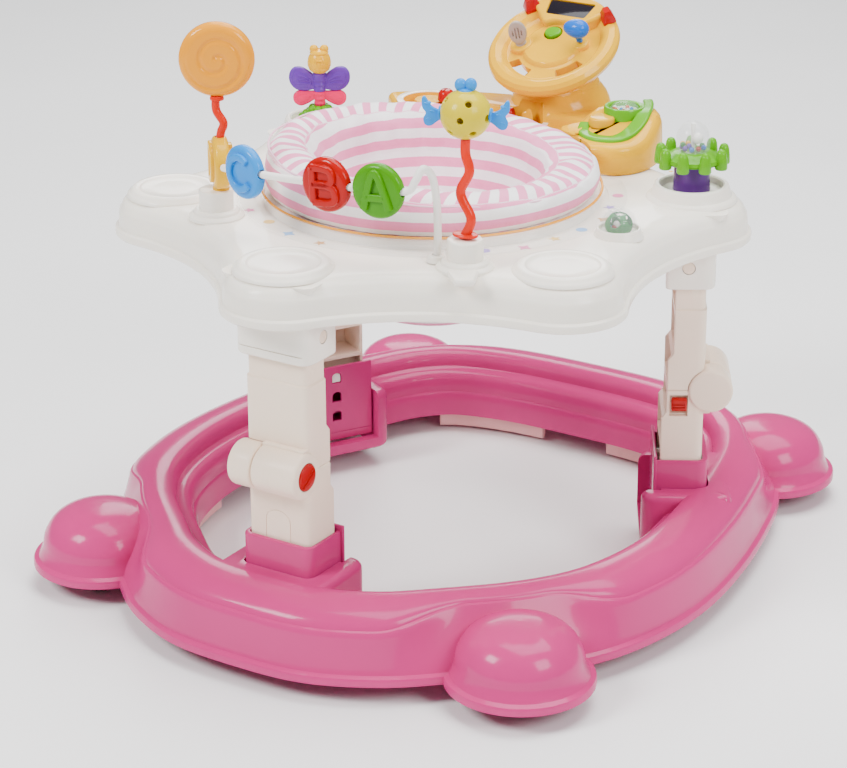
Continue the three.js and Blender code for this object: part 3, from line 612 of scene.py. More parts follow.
def base_shell():
    skirt = curve([(60.5, 40), (58, 52), (50, 65), (38, 73.5), (22, 78.3), (0, 79.6)], 7)
    outside = [(0, 20), (70.5, 20), (70.5, 25.5), (69.6, 27.6), (67.2, 28.6), (65, 29.6), (63, 33)] + skirt
    inside = [(0, 12), (60.5, 12), (60.5, 33)] + curve([(58.5, 40), (55, 50), (47, 61.5), (36, 69.5),
                                                        (21, 74.6), (0, 76)], 3)
    bosses, wells, jackets = leg_pockets()
    shell = base_ring("base", base_outside)
    join(shell, *(lathe("dome", outside, at_dome(p), 96) for p in DOMES), *bosses)
    cut(shell, base_ring("hollow", base_hollow),
        *(lathe("hollow", inside, at_dome(p), 48) for p in DOMES), *wells)
    outer = base_ring("jacket_stock", base_outside)
    for at in LEG_FRAMES.values():
        join(outer, jamb(at))
    walls = jackets[0]
    join(walls, *jackets[1:])
    combine(walls, [outer], "INTERSECT")
    join(shell, walls)
    join(shell, *(drum("boss", 12, 44, 77.5, 0.5, at=at_dome(p)) for p in DOMES))
    tools = []
    for at in LEG_FRAMES.values():
        tools.append(box("room", (-44, -29, 10), (44, 30, 66), corner=4, at=at))
        tools.append(box("room", (-40.6, -29, 60), (40.6, 27.8, 120), corner=12, at=at))
        tools.append(box("room", (-44, -70, 34), (44, -20, 120), at=at))
        tools.append(drum("bore", 5.4, -49, 49, 0.1, "x", (0, 60), at))
    tools += [drum("bore", 5.4, 38, 67, 0.1, at=at_dome(p)) for p in DOMES]
    cut(shell, *tools)
    return finish(shell, PINK, "base", "base_shell", 30)


def grip_pads():
    slack, reach = 0.004, 0.09
    for name in ("front_left", "front_right", "left", "right"):
        low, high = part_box(f"grip_pad_{name}")
        centre = (low + high) / 2
        span = []
        for p, inward in RING:
            inner = p + inward * 81.5
            in_x = low.x - slack < inner.x * MM < high.x + slack
            in_y = low.y - slack < inner.y * MM < high.y + slack
            if in_x and in_y and (inner * MM - centre.xy).length < reach:
                span.append((p, inward))
        order = sorted(span, key=lambda s: math.atan2(s[0].y, s[0].x) % (2 * math.pi))
        if name == "right":
            order = sorted(span, key=lambda s: s[0].y)
        section = rounded(rectangle(78, 4.2, 85, 38), 1.6, 3)
        rings = [[(*(p + inward * d), z) for d, z in section] for p, inward in order]
        finish(loft(f"grip_strip_{name}", rings), GRIP, "base", f"grip_pad_{name}")


base_shell()
grip_pads()


# ---- castors ----
def castor(place):
    swivel = JOINTS[f"castor_swivel_{place}"]
    spin = JOINTS[f"wheel_spin_{place}"]
    x, y, _ = swivel["pos_m"]
    at = axes_at((x, y, 0), Vector(spin["pos_m"]).xy.to_3d() - Vector((x, y, 0)))
    trail = (Vector(spin["pos_m"]).xy - Vector((x, y))).length / MM
    cheek = [(-9, 33), (-9, 39.5), (9, 39.5), (trail + 6, 24), (trail + 6.5, 15), (trail + 2, 11.5),
             (trail - 5, 13)]
    plan = rounded(cheek, [2, 1, 4, 4, 4, 4, 4], 4)
    upright = at @ UPRIGHT
    fork = drum("fork", 14, 36.6, 40.2, 1.2, at=at)
    join(fork, drum("stem", 5, 38, 66, 1, at=at), prism("cheek", plan, 10, 13, 0.8, 2, upright),
         prism("cheek", plan, -13, -10, 0.8, 2, upright), drum("axle", 3, -12, 12, 0.2, "y", (trail, 18), at))
    finish(fork, MAUVE, f"castor_{place}", f"castor_fork_{place}")
    tread = [(3.4, -9), (6, -9), (7.2, -7.6), (12.4, -7.6), (13.6, -9), (16, -9), (17.4, -8.3), (18, -7),
             (18, -2.2), (17.5, -1.4), (17.5, 1.4), (18, 2.2), (18, 7), (17.4, 8.3), (16, 9), (13.6, 9),
             (12.4, 7.6), (7.2, 7.6), (6, 9), (3.4, 9)]
    local = shift(trail, 0, 18) @ turn_to("y")
    finish(lathe("tyre_" + place, tread, at @ local, 64, closed=True), MAUVE, f"wheel_{place}",
           f"castor_wheel_{place}")


for dome in DOMES:
    castor(dome)


# ---- legs ----
KNEE_Y, KNEE_Z, PIVOT_Z = 26, 190, 320


def arched(width, height, at_z):
    """An arched opening's outline as (x, z), standing on its flat side."""
    half = width / 2
    top = [(half * math.cos(a), at_z + height / 2 - half * 0.8 + half * 0.8 * math.sin(a))
           for a in (math.pi * i / 10 for i in range(11))]
    return [(-half, at_z - height / 2), (half, at_z - height / 2)] + top


def facing_back(name, outline, low, high, edge, at):
    """An (x, z) outline raised along Y."""
    return prism(name, outline, -high, -low, edge, 2, at @ UPRIGHT)


def sleeve(place, at):
    outer = rounded(rectangle(-39, -27, 39, 26), [1.5, 1.5, 11, 11], 7)
    inner = rounded(rectangle(-35.8, -25, 35.8, 21), [0.6, 0.6, 8, 8], 7)
    shell = prism("sleeve", outer, 43, 116, 0.9, 2, at)
    cut(shell, prism("room", inner, 38, 130, at=at))
    panel = box("panel", (-42, -28.2, 36), (42, -24.9, 121.4), 0.9, 1.2, at)
    join(shell, panel, box("floor", (-37, -26, 43), (37, 20.8, 45), at=at),
         drum("pin", 5, 36.5, 48, 0.8, "x", (0, 60), at), drum("pin", 5, -48, -36.5, 0.8, "x", (0, 60), at))
    slots = [facing_back("slot", arched(11, 11.5, 108 - 22 * i), -32, -20, 0, at) for i in range(3)]
    cut(shell, *slots, box("room", (-50, 20.9, 40), (50, 30, 50), at=at),
        box("line", (-43, -28.6, 44.5), (43, -27.6, 45.6), at=at))
    finish(shell, PINK, f"sleeve_{place}", f"leg_sleeve_{place}")


def section_loft(name, sections, at):
    """A leg's solid from (height, inner depth, outer depth, half width, corner) sections."""
    rings = []
    for z, inner, outer, half, corner in sections:
        plan = rounded(rectangle(-half, inner, half, outer), [1.6, 1.6, corner, corner], 6)
        rings.append([(x, y, z) for x, y in plan])
    return loft(name, rings, at=at)


def lower_leg(place, at):
    leg = section_loft("lower", [(90, -22, 18.6, 34, 8), (91.4, -22, 20, 35, 9), (160, -22, 20, 35, 9),
                                 (167, -17, 20, 35, 9), (188.6, -17, 20, 35, 9),
                                 (189.8, -17, 18.8, 34, 8)], at)
    bays = [(84, 127), (131, 161), (165, 184)]
    cut(leg, *(box("bay", (-31.6, -40, z0), (31.6, 16.6, z1), at=at) for z0, z1 in bays))
    join(leg, box("plate", (-33, -8.6, 93), (33, -6, 129), at=at),
         box("spine", (-1.3, -14, 131), (1.3, 18, 184), at=at),
         drum("knuckle", 22, 12.5, 38, 3.2, "x", (KNEE_Y, KNEE_Z), at, 72),
         box("web", (12.5, 8, 166), (34, KNEE_Y, 182), 0.5, at=at))
    arch = arched(28, 33, 129.5)
    ring_outside = facing_back("arch", arch, 19.4, 24, 0, at)
    cut(ring_outside, facing_back("arch", arched(26.6, 31.8, 129.4), 15, 30, 0, at))
    cut(leg, drum("room", 22.8, -50, 12.5, 0.1, "x", (KNEE_Y, KNEE_Z), at, 72),
        drum("bore", 6.5, -45, 32, 0.1, "x", (KNEE_Y, KNEE_Z), at),
        drum("hole", 3, -20, 0, 0.1, "y", (0, 108), at),
        box("slot", (31, -14, 163), (40, 4, 185.4), at=at), ring_outside)
    finish(leg, CREAM, f"lower_leg_{place}", f"lower_leg_{place}")


def upper_leg(place, at):
    leg = section_loft("upper", [(190.2, -17, 18.8, 34, 8), (191.4, -17, 20, 35, 9),
                                 (222, -17, 20, 35, 9), (229, -11.5, 20, 35, 9), (274, -11.5, 20, 35, 9),
                                 (275.4, -11.5, 18.6, 33.4, 8), (320, -11.5, 18.6, 33.4, 8)], at)
    join(leg, drum("crown", 18.6, -33.4, 33.4, 1.5, "x", (0, PIVOT_Z), at, 64))
    bays = [(196, 226), (230, 268), (272, 308)]
    cut(leg, *(box("bay", (-30.4, -40, z0), (30.4, 15.4, z1), at=at) for z0, z1 in bays))
    join(leg, box("spine", (-1.3, -9, 196), (1.3, 17, 308), at=at),
         drum("knuckle", 22, -38, 11.6, 3.2, "x", (KNEE_Y, KNEE_Z), at, 72),
         box("web", (-34, 8, 198), (11.6, KNEE_Y, 214), 0.5, at=at),
         drum("pin", 6, -40.5, 40.5, 0.8, "x", (0, PIVOT_Z), at))
    cut(leg, drum("room", 22.8, 11.6, 50, 0.1, "x", (KNEE_Y, KNEE_Z), at, 72),
        drum("bore", 6.5, -45, 45, 0.1, "x", (KNEE_Y, KNEE_Z), at),
        drum("counterbore", 13.7, -45, -28, 0.1, "x", (KNEE_Y, KNEE_Z), at, 64))
    finish(leg, CREAM, f"upper_leg_{place}", f"upper_leg_{place}")


def latches(place, at):
    pin = drum("knee_button_" + place, 13, -39.6, -33.8, 1.8, "x", (KNEE_Y, KNEE_Z), at, 64)
    join(pin, drum("shaft", 6, -34.4, 26, 0.8, "x", (KNEE_Y, KNEE_Z), at))
    tilt = at @ shift(-39.6, KNEE_Y, KNEE_Z) @ Matrix.Rotation(math.radians(-35), 4, "X")
    cut(pin, box("groove", (-1.2, -16, -2.6), (1.6, 16, 2.6), 0.5, at=tilt))
    finish(pin, RED, f"knee_pin_{place}", f"knee_lock_pin_{place}")
    tab = box("side_button_" + place, (31.6, -12.5, 169.5), (38.6, 3, 182.5), 1.4, 2.2, at)
    cut(tab, box("grip", (37.4, -11, 173), (40, 1.4, 174), at=at),
        box("grip", (37.4, -11, 176), (40, 1.4, 177), at=at))
    finish(tab, RED, f"latch_tab_{place}", f"latch_tab_{place}")
    button = facing_back("height_button_" + place, arched(10, 10.5, 108), -27.4, -13, 1.2, at)
    join(button, drum("stem", 2.5, -14, -2, 0.4, "y", (0, 108), at))
    finish(button, WHITE, f"height_latch_{place}", f"height_latch_{place}")


for leg_place, leg_at in LEG_FRAMES.items():
    sleeve(leg_place, leg_at)
    lower_leg(leg_place, leg_at)
    upper_leg(leg_place, leg_at)
    latches(leg_place, leg_at)


# ---- tray ----
LOBE_SWING, HOLLOW_RADIUS, HOLLOW_AT, LOBE_RADIUS = 55.27, 235.2, 485.2, 60
PLAIN_LOBES, TOY_LOBES = (-90, -30, 210), (30, 150)
TRAY_TOP, POST_TOP = 380, 407
FISH_POST, BLOCK_POST = (139, -165), (-139, -165)


def arc(radius, start, end, steps, centre=(0, 0)):
    out = []
    for i in range(steps + 1):
        a = math.radians(start + (end - start) * i / steps)
        out.append((centre[0] + radius * math.cos(a), centre[1] + radius * math.sin(a)))
    return out


def tray_outline(amount):
    points = []
    for lobe in range(-90, 270, 60):
        points += arc(LOBE_RADIUS - amount, lobe - LOBE_SWING, lobe + LOBE_SWING, 30, on_lobe(lobe))
        half, facing = LOBE_SWING - 30, lobe + 210
        points += arc(HOLLOW_RADIUS + amount, facing + half, facing - half, 14,
                      on_lobe(lobe + 30, HOLLOW_AT))[1:-1]
    return points


def tray_layers(name, profile):
    return loft(name, [[(x, y, z) for x, y in tray_outline(d)] for d, z in profile], at=AT_HUB)


def collar_plan(low, high, corner):
    return rounded(rectangle(low[0], low[1], high[0], high[1]), [corner / 3, corner / 3, corner, corner], 6)


def collar(at):
    """The socket under the tray that holds a leg's top pivot, flaring into the tray."""
    stages = [(298, 0), (299, 0.8), (303, 1), (331, 1), (334, 2.2), (337, 2.2), (352, 3.5), (366, 6),
              (377, 10)]
    rings = []
    for z, out in stages:
        plan = collar_plan((-40 - out, -21 - out), (40 + out, 26 + out), 13)
        rings.append([(x, y, z) for x, y in plan])
    return loft("collar", rings, at=at)


def post(x, y):
    """An eight-sided post on a round two-step foot."""
    foot = lathe("foot", [(0, 379), (27, 379), (26.6, 381.6), (24.6, 383.6), (22.6, 384.2),
                          (21.6, 386.4), (19, 388), (0, 388)], spot(x, y), 48)
    sides = oval(17.6, 17.6, 8, (x, y), math.radians(22.5))
    return join(foot, prism("post", rounded(sides, 4, 3), 384, POST_TOP, 2.2, 3, AT_HUB))


def spot(x, y):
    return AT_HUB @ shift(x, y)


def tray():
    outside = [(1.2, 340), (0.2, 341), (0, 343), (0, 345.6), (0.5, 347.4), (1.9, 348.6), (3.4, 349.2),
               (3.9, 351), (4.1, 356), (4.5, 361), (5.2, 365.6), (6.4, 367.6), (7.4, 369.4),
               (8.8, 372.2), (11.2, 375), (14.5, 377.2), (19, 378.8), (26, 379.8), (34, TRAY_TOP)]
    hollow = [(4.5, 334), (7, 349), (8.5, 363), (14, 371.5), (30, 377)]
    shell = tray_layers("tray_shell", outside)
    cut(shell, tray_layers("hollow", hollow))
    ledge = [(158, 364), (176, 364), (176, 379), (172, 379), (172, 367.6), (158, 367.6)]
    disc = [(0, 378), (47, 378), (46.4, 380.4), (45, 382), (43.2, 383), (42.2, 384.6), (40.6, 385.7),
            (37, 386), (34.6, 385.6), (33.4, 384.6), (31.6, 383.8), (20, 384.2), (0, 384.4)]
    rim = [(0, 378), (45, 378), (44, 380.6), (42, 382.6), (39.6, 383.4), (38.6, 385.4), (37.4, 390),
           (36.2, 393), (34.4, 394.2), (32, 394.2), (30.6, 393), (30, 390.4), (29.4, 387.6), (28, 386.8),
           (0, 386.8)]
    cup = [(0, 378), (24, 378), (23.2, 381), (21.6, 383), (21, 386.4), (20.2, 387.4), (19.2, 387.4),
           (18.4, 386.6), (18.4, 383), (0, 383)]
    ball_x, ball_y = ((middle("ball_window") - HUB).xy / MM)[:]
    others = [collar(at) for at in LEG_FRAMES.values()]
    others += [lathe("disc", disc, spot(*on_lobe(a)), 64) for a in PLAIN_LOBES]
    others += [lathe("rim", rim, spot(*on_lobe(a)), 64) for a in TOY_LOBES]
    others += [post(*FISH_POST), post(*BLOCK_POST), lathe("cup", cup, spot(ball_x, ball_y), 48)]
    spout = prism("spout", rounded([(-15, -6), (15, -6), (9, 24), (-9, 24)], 5, 4), 379, 385.5, 2.6, 3,
                  spot(152, -190) @ Matrix.Rotation(math.radians(215), 4, "Z"))
    join(shell, *others, spout)
    tools = [drum("hole", 158, 350, 430, 0.1, at=AT_HUB, sides=160),
             drum("hole", 172, 379, 430, 0.1, at=AT_HUB, sides=160)]
    for at in LEG_FRAMES.values():
        tools += [box("room", (-36, -60, 290), (36, 21.4, 343), corner=1, at=at),
                  drum("bore", 6.5, -45, 45, 0.1, "x", (0, PIVOT_Z), at)]
        tools.append(box("line", (-44, 25.2, 306), (44, 28, 307), at=at))
    foot_x, foot_y = 110, -167
    tools.append(drum("hole", 4.6, 374, 388, 0.1, centre=(foot_x, foot_y), at=AT_HUB))
    cut(shell, *tools)
    join(shell, lathe("ledge", ledge, AT_HUB, 160, closed=True))
    finish(shell, TRAY_WHITE, "tray", "tray", 30)
    socket = [(4.4, 381), (10, 381), (9.6, 384), (8, 386.6), (6, 387.4), (4.4, 387.4)]
    finish(lathe("bar_socket", socket, spot(foot_x, foot_y), 40, closed=True), TRAY_WHITE, "tray", ())


def sweep_profile(name, profile, start, end, steps, at=AT_HUB):
    """Turns a closed profile of (radius, height) part of the way about the hub."""
    rings = []
    for i in range(steps + 1):
        a = math.radians(start + (end - start) * i / steps)
        rings.append([(r * math.cos(a), r * math.sin(a), z) for r, z in profile])
    return loft(name, rings, at=at)


def merge(name, pieces):
    """Puts loose solids into one object without joining them."""
    work = bmesh.new()
    for piece in pieces:
        work.from_mesh(piece.data)
        bpy.data.objects.remove(piece)
    mesh = bpy.data.meshes.new(name)
    work.to_mesh(mesh)
    work.free()
    out = bpy.data.objects.new(name, mesh)
    bpy.context.scene.collection.objects.link(out)
    return out


def star(points, outer, inner, centre):
    out = []
    for i in range(points * 2):
        a = math.pi * i / points
        r = outer if i % 2 == 0 else inner
        out.append((centre[0] + r * math.cos(a), centre[1] + r * math.sin(a)))
    return out


def decals():
    """Plain pastel shapes printed on the tray under the clear ring."""
    palette = [plastic("print_lilac", "9c7fd6", 0.5, 0.1), plastic("print_rose", "ee6fae", 0.5, 0.1),
               plastic("print_butter", "eec04a", 0.5, 0.1), plastic("print_sky", "6fa9e4", 0.5, 0.1),
               plastic("print_ochre", "c98a2a", 0.5, 0.1)]
    groups = [[] for _ in palette]
    spots = list(range(150, 268, 13)) + list(range(318, 396, 12))
    for i, degrees in enumerate(spots):
        a = math.radians(degrees)
        r = 179 + 3 * math.sin(i * 2.4)
        centre = (r * math.cos(a), r * math.sin(a))
        kind = i % 3
        shape = star(5, 6.5, 3, centre) if kind == 0 else arc(5.5, 0, 340, 17, centre) if kind == 1 \
            else rounded(star(4, 7.5, 3.4, centre), 1.2, 3)
        groups[i % len(palette)].append(prism("mark", shape, TRAY_TOP + 0.1, TRAY_TOP + 0.35, at=AT_HUB))
        small = (r + 5 * math.cos(a + 2), r + 5 * math.sin(a + 2))
        centre = (small[0] * math.cos(0.045) - small[1] * math.sin(0.045),
                  small[0] * math.sin(0.045) + small[1] * math.cos(0.045))
        groups[(i + 2) % len(palette)].append(prism("mark", arc(2.2, 0, 330, 11, centre), TRAY_TOP + 0.1,
                                                    TRAY_TOP + 0.35, at=AT_HUB))
    for i, (group, material) in enumerate(zip(groups, palette)):
        finish(merge(f"decal_{i}", group), material, "tray")


def seat_rings():
    window = [(190, 380.5), (190, 382.3), (188.6, 383.6), (178, 388), (169.5, 391.4), (167.4, 391.4),
              (166, 390), (186, 380.5)]
    finish(sweep_profile("clear_ring", window, 138, 402, 130), CLEAR, "tray", "window_ring", 30)
    ring = [(150, 368), (170.4, 368), (171, 368.6), (171, 374.4), (170.2, 375), (165, 375), (164.4, 376),
            (164, 386.8), (163, 388), (150, 388)]
    finish(lathe("turning_ring", ring, AT_HUB, 160, closed=True), WHITE, "seat", "seat_ring")
    finish(lathe("seat_piping", oval(1.3, 1.3, 10, (165.6, 390.6)), AT_HUB, 180, closed=True), GOLD,
           "seat", ())


# ---- fabric seat ----
# Metres: the bands' pitch, the height that the cloth is held below, and radii on the cloth.
STRIPE, STRIPES_ROUND = 0.0186, 46
CLOTH_HELD, ROLL_AT, FOLDS_AT, SEAM_AT = 0.392, 0.139, 0.118, 0.156


def cloth_material():
    """Printed cotton: bands on the outer wall and across the roll, a weave, and a soft nap."""
    n = Nodes("striped_cotton")
    x, y, z = n.split()
    y = n.math("SUBTRACT", y, HUB.y)
    around = n.math("ARCTAN2", y, x)
    out = n.math("SQRT", n.math("ADD", n.math("MULTIPLY", x, x), n.math("MULTIPLY", y, y)))
    wander = n.fit(n.noise(9.0, 2.0), 0.0, 1.0, -0.0018, 0.0018)
    level = n.math("DIVIDE", n.math("ADD", z, wander), STRIPE)
    slant = n.math("MULTIPLY", n.math("SUBTRACT", out, 0.13), 26.0)
    ray = n.math("ADD", n.math("MULTIPLY", around, STRIPES_ROUND / (2 * math.pi)), slant)
    outer = n.fit(out, 0.1555, 0.1565, 0.0, 1.0)
    low_wall = n.fit(z, 0.427, 0.429, 1.0, 0.0)
    inner = n.fit(out, 0.1225, 0.1235, 1.0, 0.0)
    is_wall = n.math("MAXIMUM", n.math("MULTIPLY", outer, low_wall), inner)
    count = n.add("ShaderNodeMix", data_type="FLOAT")
    for socket, value in zip((count.inputs[0], count.inputs[2], count.inputs[3]), (is_wall, ray, level)):
        n.set(socket, value)
    band = n.math("PINGPONG", count.outputs[0], 0.5)
    print_edge = n.fit(n.math("ADD", band, n.fit(n.noise(700.0, 2.0), 0.3, 0.7, -0.008, 0.008)), 0.238,
                       0.262, 0.0, 1.0)
    tone = n.fit(n.noise(30.0, 4.0), 0.3, 0.7, 0.0, 1.0)
    white = n.mix(tone, srgb("f6f0f2"), srgb("ffffff"))
    pink = n.mix(tone, srgb("ee7fae"), srgb("fb93bf"))
    n.set(n.shader.inputs["Base Color"], n.mix(print_edge, white, pink))
    n.set(n.shader.inputs["Roughness"], n.fit(n.noise(300.0, 3.0), 0.3, 0.7, 0.75, 0.95))
    warp = n.math("SINE", n.math("MULTIPLY", around, 2200.0))
    weft = n.math("SINE", n.math("MULTIPLY", n.math("ADD", z, out), 9000.0))
    weave = n.bump(n.math("MULTIPLY", warp, weft), 0.16, 0.0003)
    creases = n.bump(n.noise(26.0, 5.0, 0.6), 0.5, 0.004, weave)
    n.set(n.shader.inputs["Normal"], creases)
    n.shader.inputs["Sheen Weight"].default_value = 0.25
    n.shader.inputs["Sheen Roughness"].default_value = 0.5
    return n.material


def copy_of(node, name):
    source = frame["nodes"][node]
    piece = bpy.data.objects.new(name, source.data.copy())
    bpy.context.scene.collection.objects.link(piece)
    piece.matrix_world = source.matrix_world
    piece.data.transform(piece.matrix_world)
    piece.matrix_world = Matrix.Identity(4)
    return piece


def remesh(piece, size):
    modifier = piece.modifiers.new("voxels", "REMESH")
    modifier.mode = "VOXEL"
    modifier.voxel_size = size
    return settle(piece)


def inflate(piece, frames, pressure, cap, pinned):
    """Swells cloth by pressure; points in pinned stay, and no point moves farther than cap."""
    before = [v.co.copy() for v in piece.data.vertices]
    group = piece.vertex_groups.new(name="held")
    for v in piece.data.vertices:
        group.add([v.index], pinned(v.co), "REPLACE")
    modifier = piece.modifiers.new("cloth", "CLOTH")
    settings = modifier.settings
    settings.quality = 5
    settings.mass = 0.3
    settings.tension_stiffness = 12
    settings.compression_stiffness = 12
    settings.shear_stiffness = 5
    settings.bending_stiffness = 0.4
    settings.use_pressure = True
    settings.uniform_pressure_force = pressure
    settings.effector_weights.gravity = 0
    settings.vertex_group_mass = "held"
    modifier.collision_settings.use_self_collision = False
    modifier.point_cache.frame_end = frames
    for number in range(1, frames + 1):
        bpy.context.scene.frame_set(number)
    settle(piece)
    bpy.context.scene.frame_set(1)
    for v, old in zip(piece.data.vertices, before):
        move = v.co - old
        if move.length > cap:
            v.co = old + move.normalized() * cap
    piece.vertex_groups.clear()
    return piece


def rim_drop(angle):
    """How much lower the rim is than its highest side, which lies to the left and back."""
    return 0.024 * (0.5 - 0.5 * math.cos(angle - math.radians(200)))


def around_hub(co):
    """A point's direction from the hub, its bearing and its distance."""
    flat = Vector((co.x - HUB.x, co.y - HUB.y))
    return flat, math.atan2(flat.y, flat.x), flat.length


def limit(value):
    return max(0.0, min(value, 1.0))


def lean_rim(pad, top):
    """Lowers the rim toward the front right and narrows the wall, to leave room to swell."""
    for v in pad.data.vertices:
        flat, angle, out = around_hub(v.co)
        share = limit((v.co.z - CLOTH_HELD) / (top - CLOTH_HELD))
        v.co.z -= rim_drop(angle) * share * share
        if out > 1e-6:
            shrink = 1 - 0.012 * share
            v.co.x = HUB.x + flat.x * shrink
            v.co.y = HUB.y + flat.y * shrink


def crease_cloth(pad, top):
    """Tucks and slack on the roll, folds down its inner side, and the seam round its outer edge."""
    for v in pad.data.vertices:
        flat, angle, out = around_hub(v.co)
        if v.co.z < CLOTH_HELD or out < 1e-6:
            continue
        roll = max(0.0, 1 - abs(out - ROLL_AT) / 0.026) * limit((v.co.z - 0.40) / 0.02)
        tuck = math.sin(angle * 31 + 2.2 * math.sin(angle * 5)) * 0.0011 + math.sin(angle * 17 + 1.3) * 0.0009
        slack = noise.noise(Vector((angle * 3.5, out * 60, 2.0))) * 0.0028
        v.co.z += roll * (tuck + slack)
        inside = max(0.0, 1 - abs(out - FOLDS_AT) / 0.018)
        fold = math.sin(angle * 23 + 3 * math.sin(angle * 3)) * 0.0016 * inside
        v.co.x += flat.x / out * fold
        v.co.y += flat.y / out * fold
        near_top = limit((v.co.z - (top - rim_drop(angle) - 0.022)) / 0.008)
        v.co.z -= math.exp(-((out - SEAM_AT) / 0.0016) ** 2) * near_top * 0.0012


def seat_pad():
    pad = remesh(copy_of("seat_pad", "fabric_seat"), 0.0045)
    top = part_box("seat_pad")[1].z
    lean_rim(pad, top)
    inflate(pad, 20, 4.0, 0.008, lambda co: 1.0 if co.z < CLOTH_HELD else 0.0)
    crease_cloth(pad, top)
    modifier = pad.modifiers.new("smooth", "CORRECTIVE_SMOOTH")
    modifier.iterations = 2
    modifier.use_only_smooth = True
    modifier = pad.modifiers.new("finer", "SUBSURF")
    modifier.levels = 1
    modifier.render_levels = 1
    settle(pad)
    finish(pad, cloth_material(), "seat", "seat_pad", 180)


def seam_cord():
    """The thin cord that is sewn along the seam."""
    rings = []
    for i in range(180):
        a = 2 * math.pi * i / 180
        r = 158.2 + 0.5 * math.sin(a * 9)
        p = Vector((r * math.cos(a), r * math.sin(a), 433.5 - rim_drop(a) / MM + 0.6 * math.sin(a * 13)))
        out = Vector((p.x, p.y, 0)).normalized()
        rings.append([tuple(p + out * x + Vector((0, 0, z))) for x, z in oval(1.0, 1.0, 8)])
    thread = plastic("seam_thread", "f2c4d8", 0.8, 0.0, 0.5)
    finish(loft("seam_cord", rings, closed=True, at=AT_HUB), thread, "seat", ())


# ---- beads, bar and stalks ----
BAR_ROUTE = [
    (-115.6, -182.8, 436), (-98, -193, 440), (-76, -201, 443.5), (-28, -210, 448),
    (22, -213, 451.5), (76, -211, 454), (104, -207, 457), (111, -204, 467),
    (115, -198, 477), (119, -189, 468), (117, -178, 440), (112, -168.5, 405), (110, -167, 378),
]
LETTERS = {
    "c": [arc(15, 42, 318, 22)],
    "b": [[(-11, -16), (-11, 16)], [(-11, 16), (2, 16), (9.4, 13), (9.4, 4.4), (2, 0.8), (-11, 0.8)],
          [(-11, 0.8), (3, 0.8), (12, -3), (12, -12.6), (3, -16), (-11, -16)]],
    "a": [[(-13, -16), (-7, 4), (-2.4, 16), (2.4, 16), (7, 4), (13, -16)], [(-8.6, -5), (8.6, -5)]],
    "d": [[(-9, -16), (-9, 16)], [(-9, 16), (2, 15.4), (12, 7), (12, -7), (2, -15.4), (-9, -16)]],
}


def stroke(points, level, facing, at):
    """One raised stroke of a letter on a disc's face."""
    count = len(points)
    path = points if count == 2 else curve(points, 5)
    rings = []
    for i, (x, z) in enumerate(path):
        a, b = Vector(path[max(i - 1, 0)]), Vector(path[min(i + 1, len(path) - 1)])
        along = (b - a).normalized()
        side = Vector((-along.y, along.x))
        section = rounded(rectangle(-3.5, level - 3, 3.5, level + 3.4), [0.1, 0.1, 1.8, 1.8], 4)
        rings.append([((x + side.x * s) * facing, -facing * y, z + side.y * s) for s, y in section])
    return loft("stroke", rings, at=at)


def letter_disc(name, node, letter, at, half, bar_along, material, body):
    rim = [(0, half - 3.4), (20.6, half - 3.4), (22.4, half - 3.8), (24.2, half - 4.8),
           (25.3, half - 6.4), (25.5, half - 8)]
    profile = [(r, z) for r, z in rim] + [(r, -z) for r, z in reversed(rim)]
    disc = lathe(name, profile, at @ turn_to("y"), 72)
    cut(disc, drum("bore", 4.5, -40, 40, 0.1, bar_along, (0, 0), at))
    strokes = [stroke(points, half - 3.4, facing, at) for points in LETTERS[letter] for facing in (1, -1)]
    solid = merge(name, [disc] + strokes)
    finish(solid, material, body, node)


def beads():
    bar = tube("bead_bar_rod", BAR_ROUTE, 3.6, AT_HUB, 20, 10)
    finish(bar, WHITE, "tray", "bead_bar")
    for letter, material, slot in (("c", SKY, "blue"), ("b", RED, "red"), ("a", DEEP_LIME, "lime")):
        node = f"letter_bead_{letter}"
        axis = Vector(JOINTS[f"bead_spin_{letter}"]["axis"])
        at = axes_at(middle(node), axis, (0, 0, 1))
        letter_disc(f"bead_{letter}", node, letter, at, 9, "x", material, f"bead_{letter}")
    heading = math.radians(-48)
    at = axes_at(middle("letter_block_d"), (math.cos(heading), math.sin(heading), 0))
    letter_disc("block_d", "letter_block_d", "d", at, 11, "z", D_YELLOW, "tray")
    stem = lathe("block_stem", [(0, 404), (8, 404), (8, 409), (6.5, 411), (0, 411)], spot(-134, -163), 32)
    finish(stem, D_YELLOW, "tray", ())


def wavy(name, base, wave, radius, body, node):
    x, y = base
    path = [(x + dx, y, z) for dx, z in wave]
    stalk = tube(name, path, radius, AT_HUB, 24, 14)
    return finish(stalk, ORANGE, body, node)


